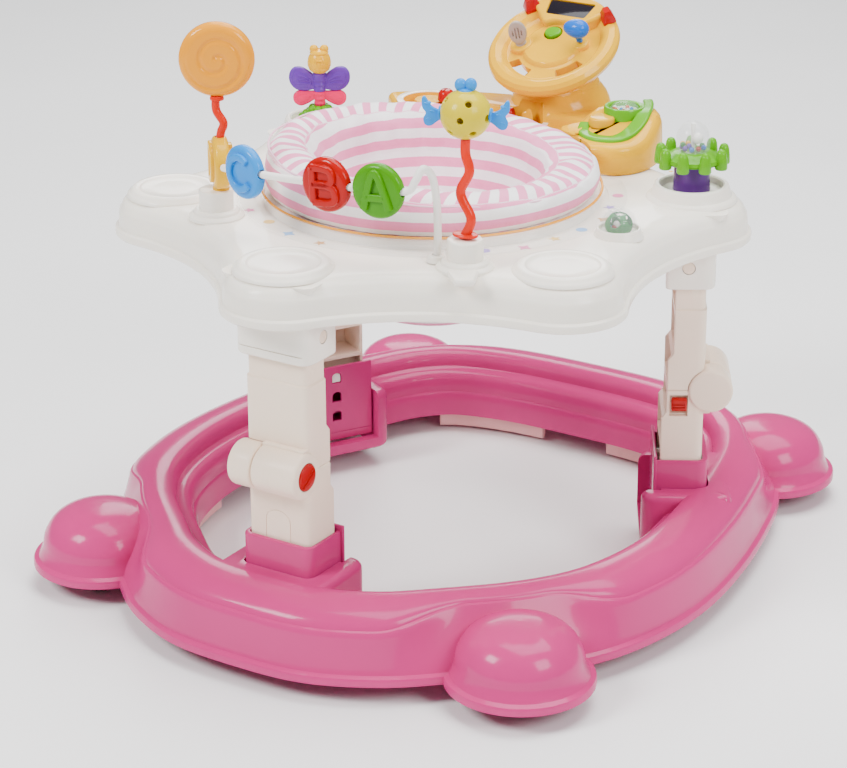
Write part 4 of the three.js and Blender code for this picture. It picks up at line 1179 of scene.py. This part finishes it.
def lollipop():
    wavy("lolly_stem", (-134, -163), [(0, 456), (2, 464), (5, 473), (-3, 484), (-3, 498)], 4, "lollipop",
         "lollipop_stalk")
    collar_piece = lathe("lolly_collar", [(0, 494), (6.4, 494), (6.8, 495.6), (6, 498), (0, 498)],
                         spot(-136.5, -162), 32)
    finish(collar_piece, ORANGE, "lollipop", ())
    heading = math.radians(32)
    at = axes_at(middle("lollipop"), (math.cos(heading), math.sin(heading), 0))
    turns, radii, spokes = 2.3, 40, 96
    rings = []
    for side in (1, -1):
        order = range(radii + 1) if side == 1 else range(radii, -1, -1)
        for k in order:
            r = 35.6 * k / radii
            ring = []
            for j in range(spokes):
                a = 2 * math.pi * j / spokes
                edge = 7.6 * math.sqrt(max(0.0, 1 - (max(r - 27, 0) / 9.0) ** 2))
                coil = math.cos(2 * math.pi * (r / 35.6 * turns - side * a / (2 * math.pi)))
                groove = 1.5 * max(0.0, -coil) ** 2 * min(1, max(0.0, (31.5 - r) / 4)) * min(1, r / 3)
                ring.append((r * math.cos(a), side * max(edge - groove, 0.0), r * math.sin(a)))
            rings.append(ring)
    candy = plastic("lollipop_amber", "f09a00", 0.14, 0.6, 0.08, 0.05)
    finish(loft("lolly_disc", rings, at=at), candy, "lollipop", "lollipop", 60)


FISH_Z = 523


def aimed(around, above, height):
    """A frame on the Z axis whose own Z points out at two angles."""
    a, t = math.radians(around), math.radians(above)
    way = Vector((math.cos(a) * math.cos(t), math.sin(a) * math.cos(t), math.sin(t)))
    return shift(0, 0, height) @ way.to_track_quat("Z", "Y").to_matrix().to_4x4()


def mirrored(outline, side):
    return [(side * x, z) for x, z in outline]


def scatter(name, grains, radius, sides, at, body):
    """Small balls, one piece for each colour."""
    for label, (material, places) in grains.items():
        balls = [ellipsoid("grain", (radius,) * 3, p, at, sides) for p in places]
        finish(merge(f"{name}_{label}", balls), material, body)


def fish():
    wavy("fish_stem", FISH_POST, [(0, 410.5), (6, 427), (-5, 449), (4, 470), (0, 486), (0, 500)], 4.5,
         "fish_stalk", "fish_stalk")
    steps = ((407.3, 1.5), (408.2, 6.0), (409.2, 10.5), (409.7, 12.4), (410.9, 12.6), (411.8, 11.8),
             (412.1, 10.4))
    rings = [[(*p, z) for p in oval(r, 0.7 * r, 40, FISH_POST)] for z, r in steps]
    plate = loft("fish_plate", rings, at=AT_HUB)
    finish(plate, ORANGE, "fish_stalk", ())
    turned = spot(*FISH_POST) @ Matrix.Rotation(math.radians(20), 4, "Z")
    body = ellipsoid("fish_ball", (23, 23, 22.6), (0, 0, FISH_Z), turned, 64)
    inside = ellipsoid("fish_hollow", (19.6, 19.6, 19.4), (0, 0, FISH_Z), turned, 32)
    bores = []
    for tilt, count, turn in ((38, 4, 20), (-2, 5, 52), (-38, 5, 15)):
        for i in range(count):
            outward = turned @ aimed(turn + 360 * i / count, tilt, FISH_Z)
            bores.append(drum("hole", 3.1, 12, 30, 0.1, at=outward, sides=28))
            bores.append(lathe("dip", [(0, 21.6), (3, 21.6), (4.6, 23), (4.8, 24), (0, 24)], outward, 28))
    cut(body, inside, *bores)
    finish(body, FISH, "fish", "fish", 40)
    trims = [ellipsoid("tuft", (5.6, 4.6, 6.2), (s * 4.6, 0, 549.6 + s * 0.4), turned, 24) for s in (-1, 1)]
    trims.append(lathe("tuft_foot", [(0, 543), (7.4, 543), (6.8, 545.6), (4, 547), (0, 547)], turned, 32))
    for s in (-1, 1):
        outline = curve([(21, 519), (24, 525), (31, 529), (36.6, 537), (39.4, 535.6), (39.2, 527.5),
                         (36, 522.4), (38.2, 517), (36.6, 511.6), (31.6, 510.6), (26, 514.6)], 5,
                        closed=True)
        trims.append(prism("fin", mirrored(outline, s), -2, 2, 1.2, 3, turned @ UPRIGHT))
        for px, pz in ((30, 524.5), (34.6, 531.5), (33.4, 517)):
            trims.append(ellipsoid("rib", (3.6, 2.8, 1.7), (s * px, 0, pz), turned, 16))
        low, high = sorted((s * 21.4, s * 24))
        trims.append(drum("fin_foot", 6.5, low, high, 0.9, "x", (0, FISH_Z), turned))
    finish(merge("fish_fins", trims), SKY, "fish", ())
    crown = lathe("fish_brow", [(0, 541), (10, 541), (9, 544.2), (5, 545.4), (0, 545.6)], turned, 40)
    finish(crown, FISH, "fish", ())


# ---- toys on the lobes ----
def butterfly():
    joint = JOINTS["butterfly_spin"]
    x, y, _ = joint["pos_m"]
    heading = math.radians(33)
    at = axes_at((x, y, 0), (math.cos(heading), math.sin(heading), 0))
    flat = at @ UPRIGHT
    upper, lower, head = [], [], []
    for s in (-1, 1):
        wing = curve([(2, 425), (7, 423.6), (16, 422), (25, 424), (31, 431), (31.6, 440), (27, 446.6),
                      (19, 447.4), (11, 443), (5, 438), (2, 437)], 5, True)
        upper.append(prism("wing", mirrored(wing, s), -3.6, 3.6, 2.2, 4, flat))
        field = curve([(8, 427), (17, 425.6), (25, 428), (28, 434), (27, 441), (21, 443.4), (14, 440),
                       (9, 435)], 5, True)
        upper.append(prism("field", mirrored(inset(field, 0.6), s), -4.3, 4.3, 0.8, 2, flat))
        for k in range(3):
            a, b = (9, 430 + 2 * k), (24 - k, 430 + 4.6 * k)
            upper.append(tube("vein",
                              [(s * a[0], -4.2, a[1]),
                               (s * (a[0] + b[0]) / 2, -4.5, (a[1] + b[1]) / 2 + 1),
                               (s * b[0], -4.2, b[1])], 0.7, at, 8))
        wing = curve([(2, 421), (12, 421.6), (22, 422), (27.6, 417), (26.6, 409.6), (20, 406),
                      (12, 408.6), (5, 413), (2, 414)], 5, True)
        lower.append(prism("wing", mirrored(wing, s), -3.4, 3.4, 2.1, 4, flat))
        field = curve([(9, 417), (16, 419.4), (22, 417.6), (24, 413), (20, 409.4), (13, 412)], 5, True)
        lower.append(prism("field", mirrored(inset(field, 0.4), s), -4.1, 4.1, 0.8, 2, flat))
        head.append(ellipsoid("horn", (4.6, 4.6, 4.6), (s * 5.4, 0, 466.4), at, 24))
        head.append(ellipsoid("cheek", (4.6, 4, 4.2), (s * 6, 0, 449), at, 24))
    upper.append(lathe("trunk", [(0, 421.6), (6, 421.6), (6.8, 424), (6, 426.4), (7, 429), (6.2, 431.6),
                                 (7.4, 434), (6.6, 437), (7.4, 440), (5, 442), (0, 442)], at, 32))
    lower.append(lathe("trunk", [(0, 404), (3.6, 404), (5, 406), (6.2, 409), (5.6, 411), (6.8, 414),
                                 (6, 416.6), (7, 419), (6.4, 421.4), (0, 421.4)], at, 32))
    head.append(lathe("skull", [(0, 441.4), (7, 441.8), (10.4, 444.6), (12.2, 449), (12.4, 453),
                                (11.4, 458), (9.6, 461.4), (9.9, 463), (8, 465.4), (0, 466.4)], at, 48))
    for dx in (-3.2, 3.2):
        head.append(tube("brow", [(dx, -11.6, 453), (dx, -11.4, 456.5), (dx, -10.2, 460)], 0.8, at, 8))
    head.append(tube("brow", [(-3.2, -11.7, 456.4), (0, -12.3, 456.6), (3.2, -11.7, 456.4)], 0.8, at, 8))
    finish(merge("butterfly_wings", upper), VIOLET, "butterfly", "butterfly")
    finish(merge("butterfly_tail", lower), MAGENTA, "butterfly", ())
    finish(merge("butterfly_head", head), YELLOW, "butterfly", ())
    blades = []
    for ring, count, radius, height in ((0, 11, 20.6, 3), (1, 9, 15.5, 8), (2, 7, 9.6, 13)):
        for i in range(count):
            a = 2 * math.pi * (i + ring * 0.5) / count
            tilt = at @ Matrix.Rotation(a, 4, "Z")
            blades.append(ellipsoid("tuft", (5.6, 4.8, 4.4), (radius - 2, 0, 389.6 + height), tilt, 16))
    blades.append(lathe("mound", [(0, 387), (22, 387), (21.4, 390), (17.6, 396), (12, 402), (6, 405),
                                  (0, 405)], at, 48))
    finish(merge("grass", blades), LIME, "tray", "grass_mound")


def rattle():
    x, y, _ = JOINTS["rattle_spin"]["pos_m"]
    at = axes_at((x, y, 0))
    barrel = [(0, 387.4), (18, 387.4), (18.4, 388.4), (17.6, 400), (17.4, 413), (16.6, 414), (0, 414)]
    finish(lathe("rattle_barrel", barrel, at, 64), PURPLE, "tray", "rattle_drum")
    dish = [(0, 414.4), (22, 414.4), (27, 415.6), (30, 418.4), (29, 421.4), (24, 423.4), (19, 426),
            (16.8, 427), (0, 427)]
    flower = [lathe("dish", dish, at, 64)]
    for i in range(9):
        turned = at @ Matrix.Rotation(2 * math.pi * i / 9, 4, "Z")
        petal = [(0, 412.6), (5.4, 412.6), (6.2, 414), (5.8, 421), (4.9, 428), (3.6, 431.2),
                 (1.8, 432.4), (0, 432.7)]
        flower.append(lathe("petal", petal, turned @ shift(31, 0, 0), 28))
        flower.append(box("arm", (14, -3.6, 414.6), (31, 3.6, 421), 1.4, at=turned))
    finish(merge("rattle_flower", flower), LIME, "rattle", "rattle_gear")
    dome = [(16.4, 427.4), (16.6, 440), (15.4, 446), (12, 451.6), (7, 455.4), (0, 457), (0, 456),
            (6.6, 454.4), (11.2, 450.8), (14.4, 445.6), (15.6, 440), (15.4, 427.4)]
    finish(lathe("rattle_capsule", dome, at, 64), CLEAR, "rattle", "rattle_dome")
    column = lathe("rattle_column", [(0, 427.2), (2.4, 427.2), (2, 440), (2.6, 454), (0, 454)], at, 20)
    ball = ellipsoid("rattle_ball", (5.4, 5.4, 5.4), (7, -4, 441), at, 24)
    finish(merge("rattle_inside", [column, ball]), WHITE, "rattle")
    grains = {0: (RED, [(9, -6, 431), (-4, 9, 431.4)]),
              1: (BLUE, [(4, -10.4, 430.4), (10.6, 2, 430.6)]),
              2: (VIOLET, [(-3, -10.6, 430.6), (-9, -5, 430.4), (0, -8, 433)]),
              3: (GREEN, [(-7, -7.6, 433.4), (6, 8, 430.6)]),
              4: (YELLOW, [(-10.4, -1, 432), (-8, 6, 431)])}
    scatter("rattle_grains", grains, 2.7, 16, at, "rattle")


BALL_Z = 389.6


def spin_ball():
    x, y, _ = JOINTS["ball_spin"]["pos_m"]
    at = axes_at((x, y, 0))
    dome = [(17.3, 383.6), (17.4, 390), (16.2, 395.6), (13.4, 400.6), (9, 404.2), (4, 406), (0, 406.4),
            (0, 405.4), (4, 405), (8.4, 403.3), (12.6, 399.8), (15.3, 395), (16.3, 390), (16.2, 383.6)]
    finish(lathe("ball_cover", dome, at, 64), CLEAR, "tray", "ball_window")
    low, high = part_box("spin_ball")
    radius = (high.x - low.x) / 2 / MM + 2.2
    centre = (0, 0, BALL_Z)
    cage = ellipsoid("green_cage", (radius, radius, radius * 0.92), centre, at, 48)
    tools = [ellipsoid("hollow", (radius - 1.6, radius - 1.6, radius * 0.92 - 1.6), centre, at, 32)]
    for tilt, count in ((28, 4), (90, 1)):
        for i in range(count):
            outward = at @ aimed(10 + 90 * i, tilt, BALL_Z)
            tools.append(drum("hole", 5.6, 4, 20, 0.1, at=outward, sides=32))
    tools.append(drum("floor", 20, 370, 384.4, 0.1, at=at))
    cut(cage, *tools)
    finish(cage, GREEN, "spin_ball", "spin_ball", 40)
    grains = {"white": (WHITE, [(6.4, -4.4, 390.4), (-5, 5, 388)]),
              "red": (RED, [(4, -8.4, 387), (-3, -4, 386.6)]),
              "blue": (BLUE, [(-6.4, -7, 387.4), (7, 4, 387)])}
    scatter("ball_grains", grains, 3, 16, at, "spin_ball")


# ---- play centre ----
def sector(inner, outer, start, end, steps=40):
    return arc(outer, start, end, steps) + arc(inner, end, start, steps)


def polar(radius, degrees):
    a = math.radians(degrees)
    return (radius * math.cos(a), radius * math.sin(a))


def soft_sector(inner, outer, start, end, corner, steps=40):
    """A part of a flat ring with its four corners rounded."""
    far, near = math.degrees(corner / outer), math.degrees(corner / inner)
    rim = arc(outer, start + far, end - far, steps)
    bore = arc(inner, end - near, start + near, steps)
    return (rim + round_corner(polar(outer, end), rim[-1], polar(outer - corner, end), corner, 5)[1:]
            + round_corner(polar(inner, end), polar(inner + corner, end), bore[0], corner, 5)[:-1]
            + bore + round_corner(polar(inner, start), bore[-1], polar(inner + corner, start), corner, 5)[1:]
            + round_corner(polar(outer, start), polar(outer - corner, start), rim[0], corner, 5)[:-1])


def place_of(node):
    p = (middle(node) - HUB) / MM
    return p.x, p.y


TRACK_LEFT = tuple(((Vector(JOINTS["slider_left"]["pos_m"]) - HUB) / MM).xy)
TRACK_RIGHT = tuple(((Vector(JOINTS["slider_right"]["pos_m"]) - HUB) / MM).xy)
WHEEL_JOINT = JOINTS["wheel_turn"]


def track_radius(side):
    knob = Vector(place_of(f"slider_knob_{side}"))
    return (knob - Vector(TRACK_LEFT if side == "left" else TRACK_RIGHT)).length


def shoe(at_xy):
    """The right pod: low round toe toward the seat, rising to a heel at the tray's edge."""
    x, y = at_xy
    plan = rounded([(x - 42, y - 8), (x - 34, y - 34), (x - 4, y - 44), (x + 30, y - 36),
                    (x + 46, y - 8), (x + 44, y + 28), (x + 34, y + 56), (x + 10, y + 74),
                    (x - 22, y + 72), (x - 38, y + 40)], 17, 5)

    def crown(px, py):
        t = min(max((py - (y - 20)) / 62, 0.0), 1.0)
        return 411 + 17 * t * t * (3 - 2 * t)
    rings = []
    for amount, share in ((3, 0.0), (0.6, 0.01), (0, 0.06), (0.6, 0.55), (1.2, 0.78), (3.2, 0.9),
                          (6.4, 0.965), (11, 0.99), (16, 1.0)):
        rings.append([(px, py, 380.4 + (crown(px, py) - 380.4) * share) for px, py in inset(plan, amount)])
    return loft("shoe", rings, at=AT_HUB), crown


def pad_on(name, path, width, height, crown, lift=0.4):
    """A raised strip that follows a path over the shoe's crown."""
    rings = []
    dense = curve(path, 8)
    for i, (x, y) in enumerate(dense):
        a, b = Vector(dense[max(i - 1, 0)]), Vector(dense[min(i + 1, len(dense) - 1)])
        along = (b - a).normalized()
        side = Vector((-along.y, along.x))
        share = i / (len(dense) - 1)
        half = width(share)
        section = rounded(rectangle(-half, -5, half, height), [0.1, 0.1, 2.2, 2.2], 4)
        rings.append([(x + side.x * s, y + side.y * s, crown(x, y) + lift + h) for s, h in section])
    return loft(name, rings, at=AT_HUB)


def play_body():
    low = TRAY_TOP + 0.4
    top_l, top_f = 414, 402

    def pod(x, y, radius, top):
        return lathe("pod", [(0, low), (radius - 1, low), (radius, low + 1.4), (radius, low + 5),
                             (radius - 1.4, low + 18), (radius - 2.4, top - 9), (radius - 4, top - 5),
                             (radius - 7, top - 1.8), (radius - 11, top - 0.3), (radius - 14, top),
                             (0, top)], spot(x, y), 72)
    front = prism("front", soft_sector(168, 212, 60, 134, 6), low, top_f, 4, 5, AT_HUB)
    back = prism("back", soft_sector(204, 255, 58, 133, 10), low + 0.2, top_l - 0.2, 7, 6, AT_HUB)
    cone_at = ((WHEEL_JOINT["pos_m"][0] - HUB.x) / MM, 256)
    cone = lathe("cone", [(0, low), (55, low), (56, low + 2), (54.6, 396), (53.4, 408), (51, 417),
                          (47.6, 424), (43, 430), (40.6, 432.4), (40, 435), (38, 437.4), (33, 438.6),
                          (0, 439)], spot(*cone_at), 96)
    shoe_piece, crown = shoe((98, 178))
    wheel_at = joint_frame("wheel_turn", (1, 0, 0), WHEEL_JOINT["axis"])
    column = lathe("column", [(0, -78), (33, -78), (32, -62), (26, -50), (21, -36), (18, -22), (17, -18),
                              (0, -18)], wheel_at, 64)
    shaft = drum("shaft", 5, -24, 5, 1, at=wheel_at)
    body = join(back, front, pod(*TRACK_LEFT, 40, top_l), cone, shoe_piece, column, shaft)
    tools = [drum("seat_room", 170.4, 370, 450, 0.1, at=AT_HUB, sides=160)]
    for side, centre, top in (("left", TRACK_LEFT, top_l), ("right", TRACK_RIGHT, top_f)):
        r, stem = track_radius(side), 4.5 if side == "left" else 3.4
        near, far = r - stem - 1.5, r + stem + 1.5
        tools.append(lathe("track", [(near, top - 8), (far, top - 8), (far, top + 20), (near, top + 20)],
                           spot(*centre), 64, closed=True))
    button = place_of("play_button")
    tools.append(drum("well", 14, 409, 440, 0.1, centre=button, at=AT_HUB, sides=64))
    slit_at = wheel_at @ Matrix.Rotation(math.radians(-55), 4, "Z")
    tools.append(box("slit", (20, -1.1, -60), (40, 1.1, -30), at=slit_at))
    cut(body, *tools)
    finish(body, YELLOW, "tray", "play_body", 30)
    return crown, button


def arc_inlay(centre, radius, half, gap, top, start, end):
    """A cream C beside a slider's groove, made here as a single band on the groove's outer side."""
    outer, inner = radius + half, radius + gap
    plan = arc(outer, start, end, 40, centre) + arc(inner, end, start, 40, centre)
    band = prism("band", plan, top - 1, top + 0.9, 0.5, 2, AT_HUB)
    return finish(band, TRAY_WHITE, "tray", ())


def play_trims(crown, button):
    arc_inlay(TRACK_LEFT, track_radius("left"), 13, 6.2, 414, 20, 290)
    arc_inlay(TRACK_RIGHT, track_radius("right"), 11, 5.2, 402, -58, 52)
    for side, top in (("left", 414), ("right", 402)):
        x, y = place_of(f"slider_knob_{side}")
        r, stem = (9, 4.5) if side == "left" else (7, 3.4)
        knob = [(0, top - 7.5), (stem, top - 7.5), (stem, top + 1.6), (r * 0.9, top + 1.6),
                (r, top + 2.6), (r * 0.94, top + 8), (r * 0.82, top + 11.4), (r * 0.55, top + 13.6),
                (0, top + 14.2)]
        piece = lathe(f"knob_{side}", knob, spot(x, y), 48)
        cut(piece, box("groove", (x - 0.8, y - 12, top + 12.4), (x + 0.8, y + 12, top + 18), at=AT_HUB))
        finish(piece, RED, f"slider_knob_{side}", f"slider_knob_{side}")
    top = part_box("play_button")[1].z / MM
    finish(prism("oval_button", oval(13.3, 13.3, 56, button), top - 11, top, 2.6, 5, AT_HUB), YELLOW,
           "play_button", "play_button")
    path = [(69, 180), (74, 168), (84, 160), (97, 156), (111, 160), (120, 174), (123, 194), (119, 216),
            (112, 236), (104, 249)]

    def swell(share):
        return 5.2 + 2.8 * math.sin(math.pi * min(1, share * 1.15)) * (0.6 + share)
    lime = pad_on("lime_trim", path, swell, 2.6, crown)
    window = (96, 214)
    ring = lathe("window_rim", [(14.8, 418), (21, 418), (21, 430), (20, 431.8), (17.4, 432), (15.6, 431),
                                (14.8, 429)], spot(*window), 56, closed=True)
    finish(merge("lime_swirl", [lime, ring]), LIME, "tray", ())
    lens = lathe("bead_window", [(0, 427.6), (14.6, 427.6), (14.4, 430), (11.6, 433.4), (7, 435.4),
                                 (0, 436.4)], spot(*window), 56)
    finish(lens, SMOKE, "tray", ())
    dish = lathe("bead_dish", [(0, 424.8), (14.6, 424.8), (14.6, 427), (0, 425.6)], spot(*window), 40)
    finish(dish, WHITE, "tray")
    inside = {0: (RED, [(-8, -8), (4, -10.4)]),
              1: (ORANGE, [(-4.6, -9.6), (1, 4)]),
              2: (BLUE, [(0, -7), (8, 0)]),
              3: (WHITE, [(-9.6, -3), (6.6, -6)])}
    grains = {label: (material, [(window[0] + a, window[1] + b, 429) for a, b in places])
              for label, (material, places) in inside.items()}
    scatter("window_grains", grains, 2.2, 14, AT_HUB, "tray")


# Places on the wheel's face, from its hub.
LEVER_AT, HORN_AT, MIC_AT = (30, 6), (-6, 14), (-33, -8)


def steering_wheel():
    at = joint_frame("wheel_turn", (1, 0, 0), WHEEL_JOINT["axis"])
    profile = [(0, -6.6), (44, -6.6), (47.5, -5.4), (50, -6.4), (54, -8.4), (59, -9.2), (64, -8.2),
               (67.8, -5), (69.8, -0.4), (69.2, 4.4), (66, 8.2), (60.4, 10), (55, 8.6), (51.6, 5.6),
               (49.4, 3.4), (46, 2.6), (36, 2.4), (33, 3), (31.4, 5.6), (29.4, 7), (12, 7.2), (0, 7.2)]
    wheel = lathe("wheel_rim", profile, at, 120)
    hood = soft_sector(27, 66, 46, 134, 5, 20)
    join(wheel, prism("hood", hood, 0, 15, 3.4, 4, at))
    lever_x, lever_y = LEVER_AT
    join(wheel, drum("boss", 12, 0, 8.6, 2.4, centre=MIC_AT, at=at),
         drum("boss", 8.5, 0, 7.4, 1.6, centre=LEVER_AT, at=at))
    gaps = [prism("gap", rounded(sector(37.5, 48.5, a - 19, a + 19, 12), 0.8, 1), -20, 20, at=at)
            for a in (240, 318)]
    screen = rounded([(-23, 33), (23, 33), (27, 55), (-27, 55)], 3, 3)
    cut(wheel, *gaps, prism("screen_room", screen, 13, 20, at=at),
        drum("horn_room", 10, -3, 20, 0.1, centre=HORN_AT, at=at), drum("bore", 5.8, -10, 5.6, 0.1, at=at))
    finish(wheel, YELLOW, "steering_wheel", "steering_wheel", 30)
    finish(prism("display", inset(screen, 0.3), 12, 13.6, 0.4, 2, at), DARK, "steering_wheel")
    finish(prism("horn", oval(9.3, 7.6, 48, HORN_AT), 0, 10, 2.4, 5, at), LIME, "horn_button",
           "horn_button")
    for side, turn in (("left", 136), ("right", 44)):
        local = at @ shift(*polar(62, turn)) @ Matrix.Rotation(math.radians(turn - 90), 4, "Z")
        foot = rounded(rectangle(-9, -7, 9, 7), 1.8, 3)
        top = rounded(rectangle(-5.4, -2.6, 5.4, 4.6), 1.4, 3)
        rings = [[(x, y, 8.8) for x, y in foot], [(x, y, 12) for x, y in foot],
                 [(x, y, 20.4) for x, y in top], [(x * 0.86, y * 0.86, 21.6) for x, y in top]]
        finish(loft(f"key_{side}", rings, at=local), RED, f"wheel_key_{side}", f"wheel_key_{side}", 25)
    egg = []
    for i in range(25):
        t = math.pi * i / 24
        egg.append((9.8 * math.sin(t) * (1 - 0.16 * math.cos(t)), -14.2 * math.cos(t)))
    egg[0], egg[-1] = (0, -14.2), (0, 14.2)
    lever = lathe("lever", egg, at @ shift(lever_x, lever_y, 27) @ turn_to("x"), 48)
    stem = rounded(rectangle(lever_x - 3.6, lever_y - 2.2, lever_x + 3.6, lever_y + 2.2), 1, 3)
    rings = [[(lever_x + (x - lever_x) * k, lever_y + (y - lever_y) * min(k, 1.0), z) for x, y in stem]
             for z, k in ((7.8, 0.15), (8.4, 0.5), (9.4, 0.85), (12, 0.85), (18, 1.0), (22, 1.5))]
    join(lever, loft("stem", rings, at=at))
    finish(lever, BLUE, "play_lever", "play_lever", 40)
    stand = at @ shift(*MIC_AT, 8) @ Matrix.Rotation(math.radians(20), 4, "Z")
    face = stand @ shift(0, 0, 15) @ Matrix.Rotation(math.radians(72), 4, "X")
    mic = prism("mic_plate", oval(9.6, 12.6, 56), -2.4, 2.4, 1.4, 4, face)
    slots = [box("slot", (x - 0.75, -7.4 + abs(x), 1.2), (x + 0.75, 7.4 - abs(x), 4), at=face)
             for x in (-4.6, -1.6, 1.6, 4.6)]
    cut(mic, *slots)
    foot = lathe("mic_foot", [(0, 0), (6, 0), (5.6, 2), (3.8, 4), (3.2, 6), (0, 6)], stand, 32)
    finish(merge("microphone", [mic, foot]), SILVER, "steering_wheel")


tray()
decals()
seat_rings()
seat_pad()
seam_cord()
beads()
lollipop()
fish()
butterfly()
rattle()
spin_ball()
play_trims(*play_body())
steering_wheel()


# ---- stage ----
# Name, place in metres, size in metres and power in watts.
LIGHTS = (("key", (-1.3, -2.3, 2.4), 1.1, 112), ("fill", (2.5, -0.7, 1.9), 1.2, 62),
          ("top", (0.2, 0.5, 2.8), 2.2, 126), ("back", (-1.6, 2.4, 2.0), 1.4, 44))
FLOOR_HALF = 6000
LIGHTS_AIM = Vector((0, 0, 0.25))


def add_floor():
    n = Nodes("floor_paint")
    speckle = n.noise(3.0, 4.0)
    n.set(n.shader.inputs["Base Color"], n.mix(speckle, (0.93, 0.93, 0.93, 1), (0.97, 0.97, 0.97, 1)))
    n.set(n.shader.inputs["Roughness"], n.fit(speckle, 0.3, 0.7, 0.55, 0.65))
    corners = rectangle(-FLOOR_HALF, -FLOOR_HALF, FLOOR_HALF, FLOOR_HALF)
    floor = build("floor", [(x, y, 0) for x, y in corners], [(0, 1, 2, 3)])
    floor.data.materials.append(n.material)


def add_lights():
    world = bpy.data.worlds.new("studio")
    world.use_nodes = True
    world.node_tree.nodes["Background"].inputs["Color"].default_value = (0.96, 0.97, 1.0, 1)
    world.node_tree.nodes["Background"].inputs["Strength"].default_value = 0.26
    bpy.context.scene.world = world
    for name, place, size, power in LIGHTS:
        light = bpy.data.objects.new(name, bpy.data.lights.new(name, "AREA"))
        light.data.energy = power
        light.data.size = size
        light.location = place
        aim = LIGHTS_AIM - Vector(place)
        light.rotation_euler = aim.to_track_quat("-Z", "Y").to_euler()
        bpy.context.scene.collection.objects.link(light)


add_floor()
add_lights()
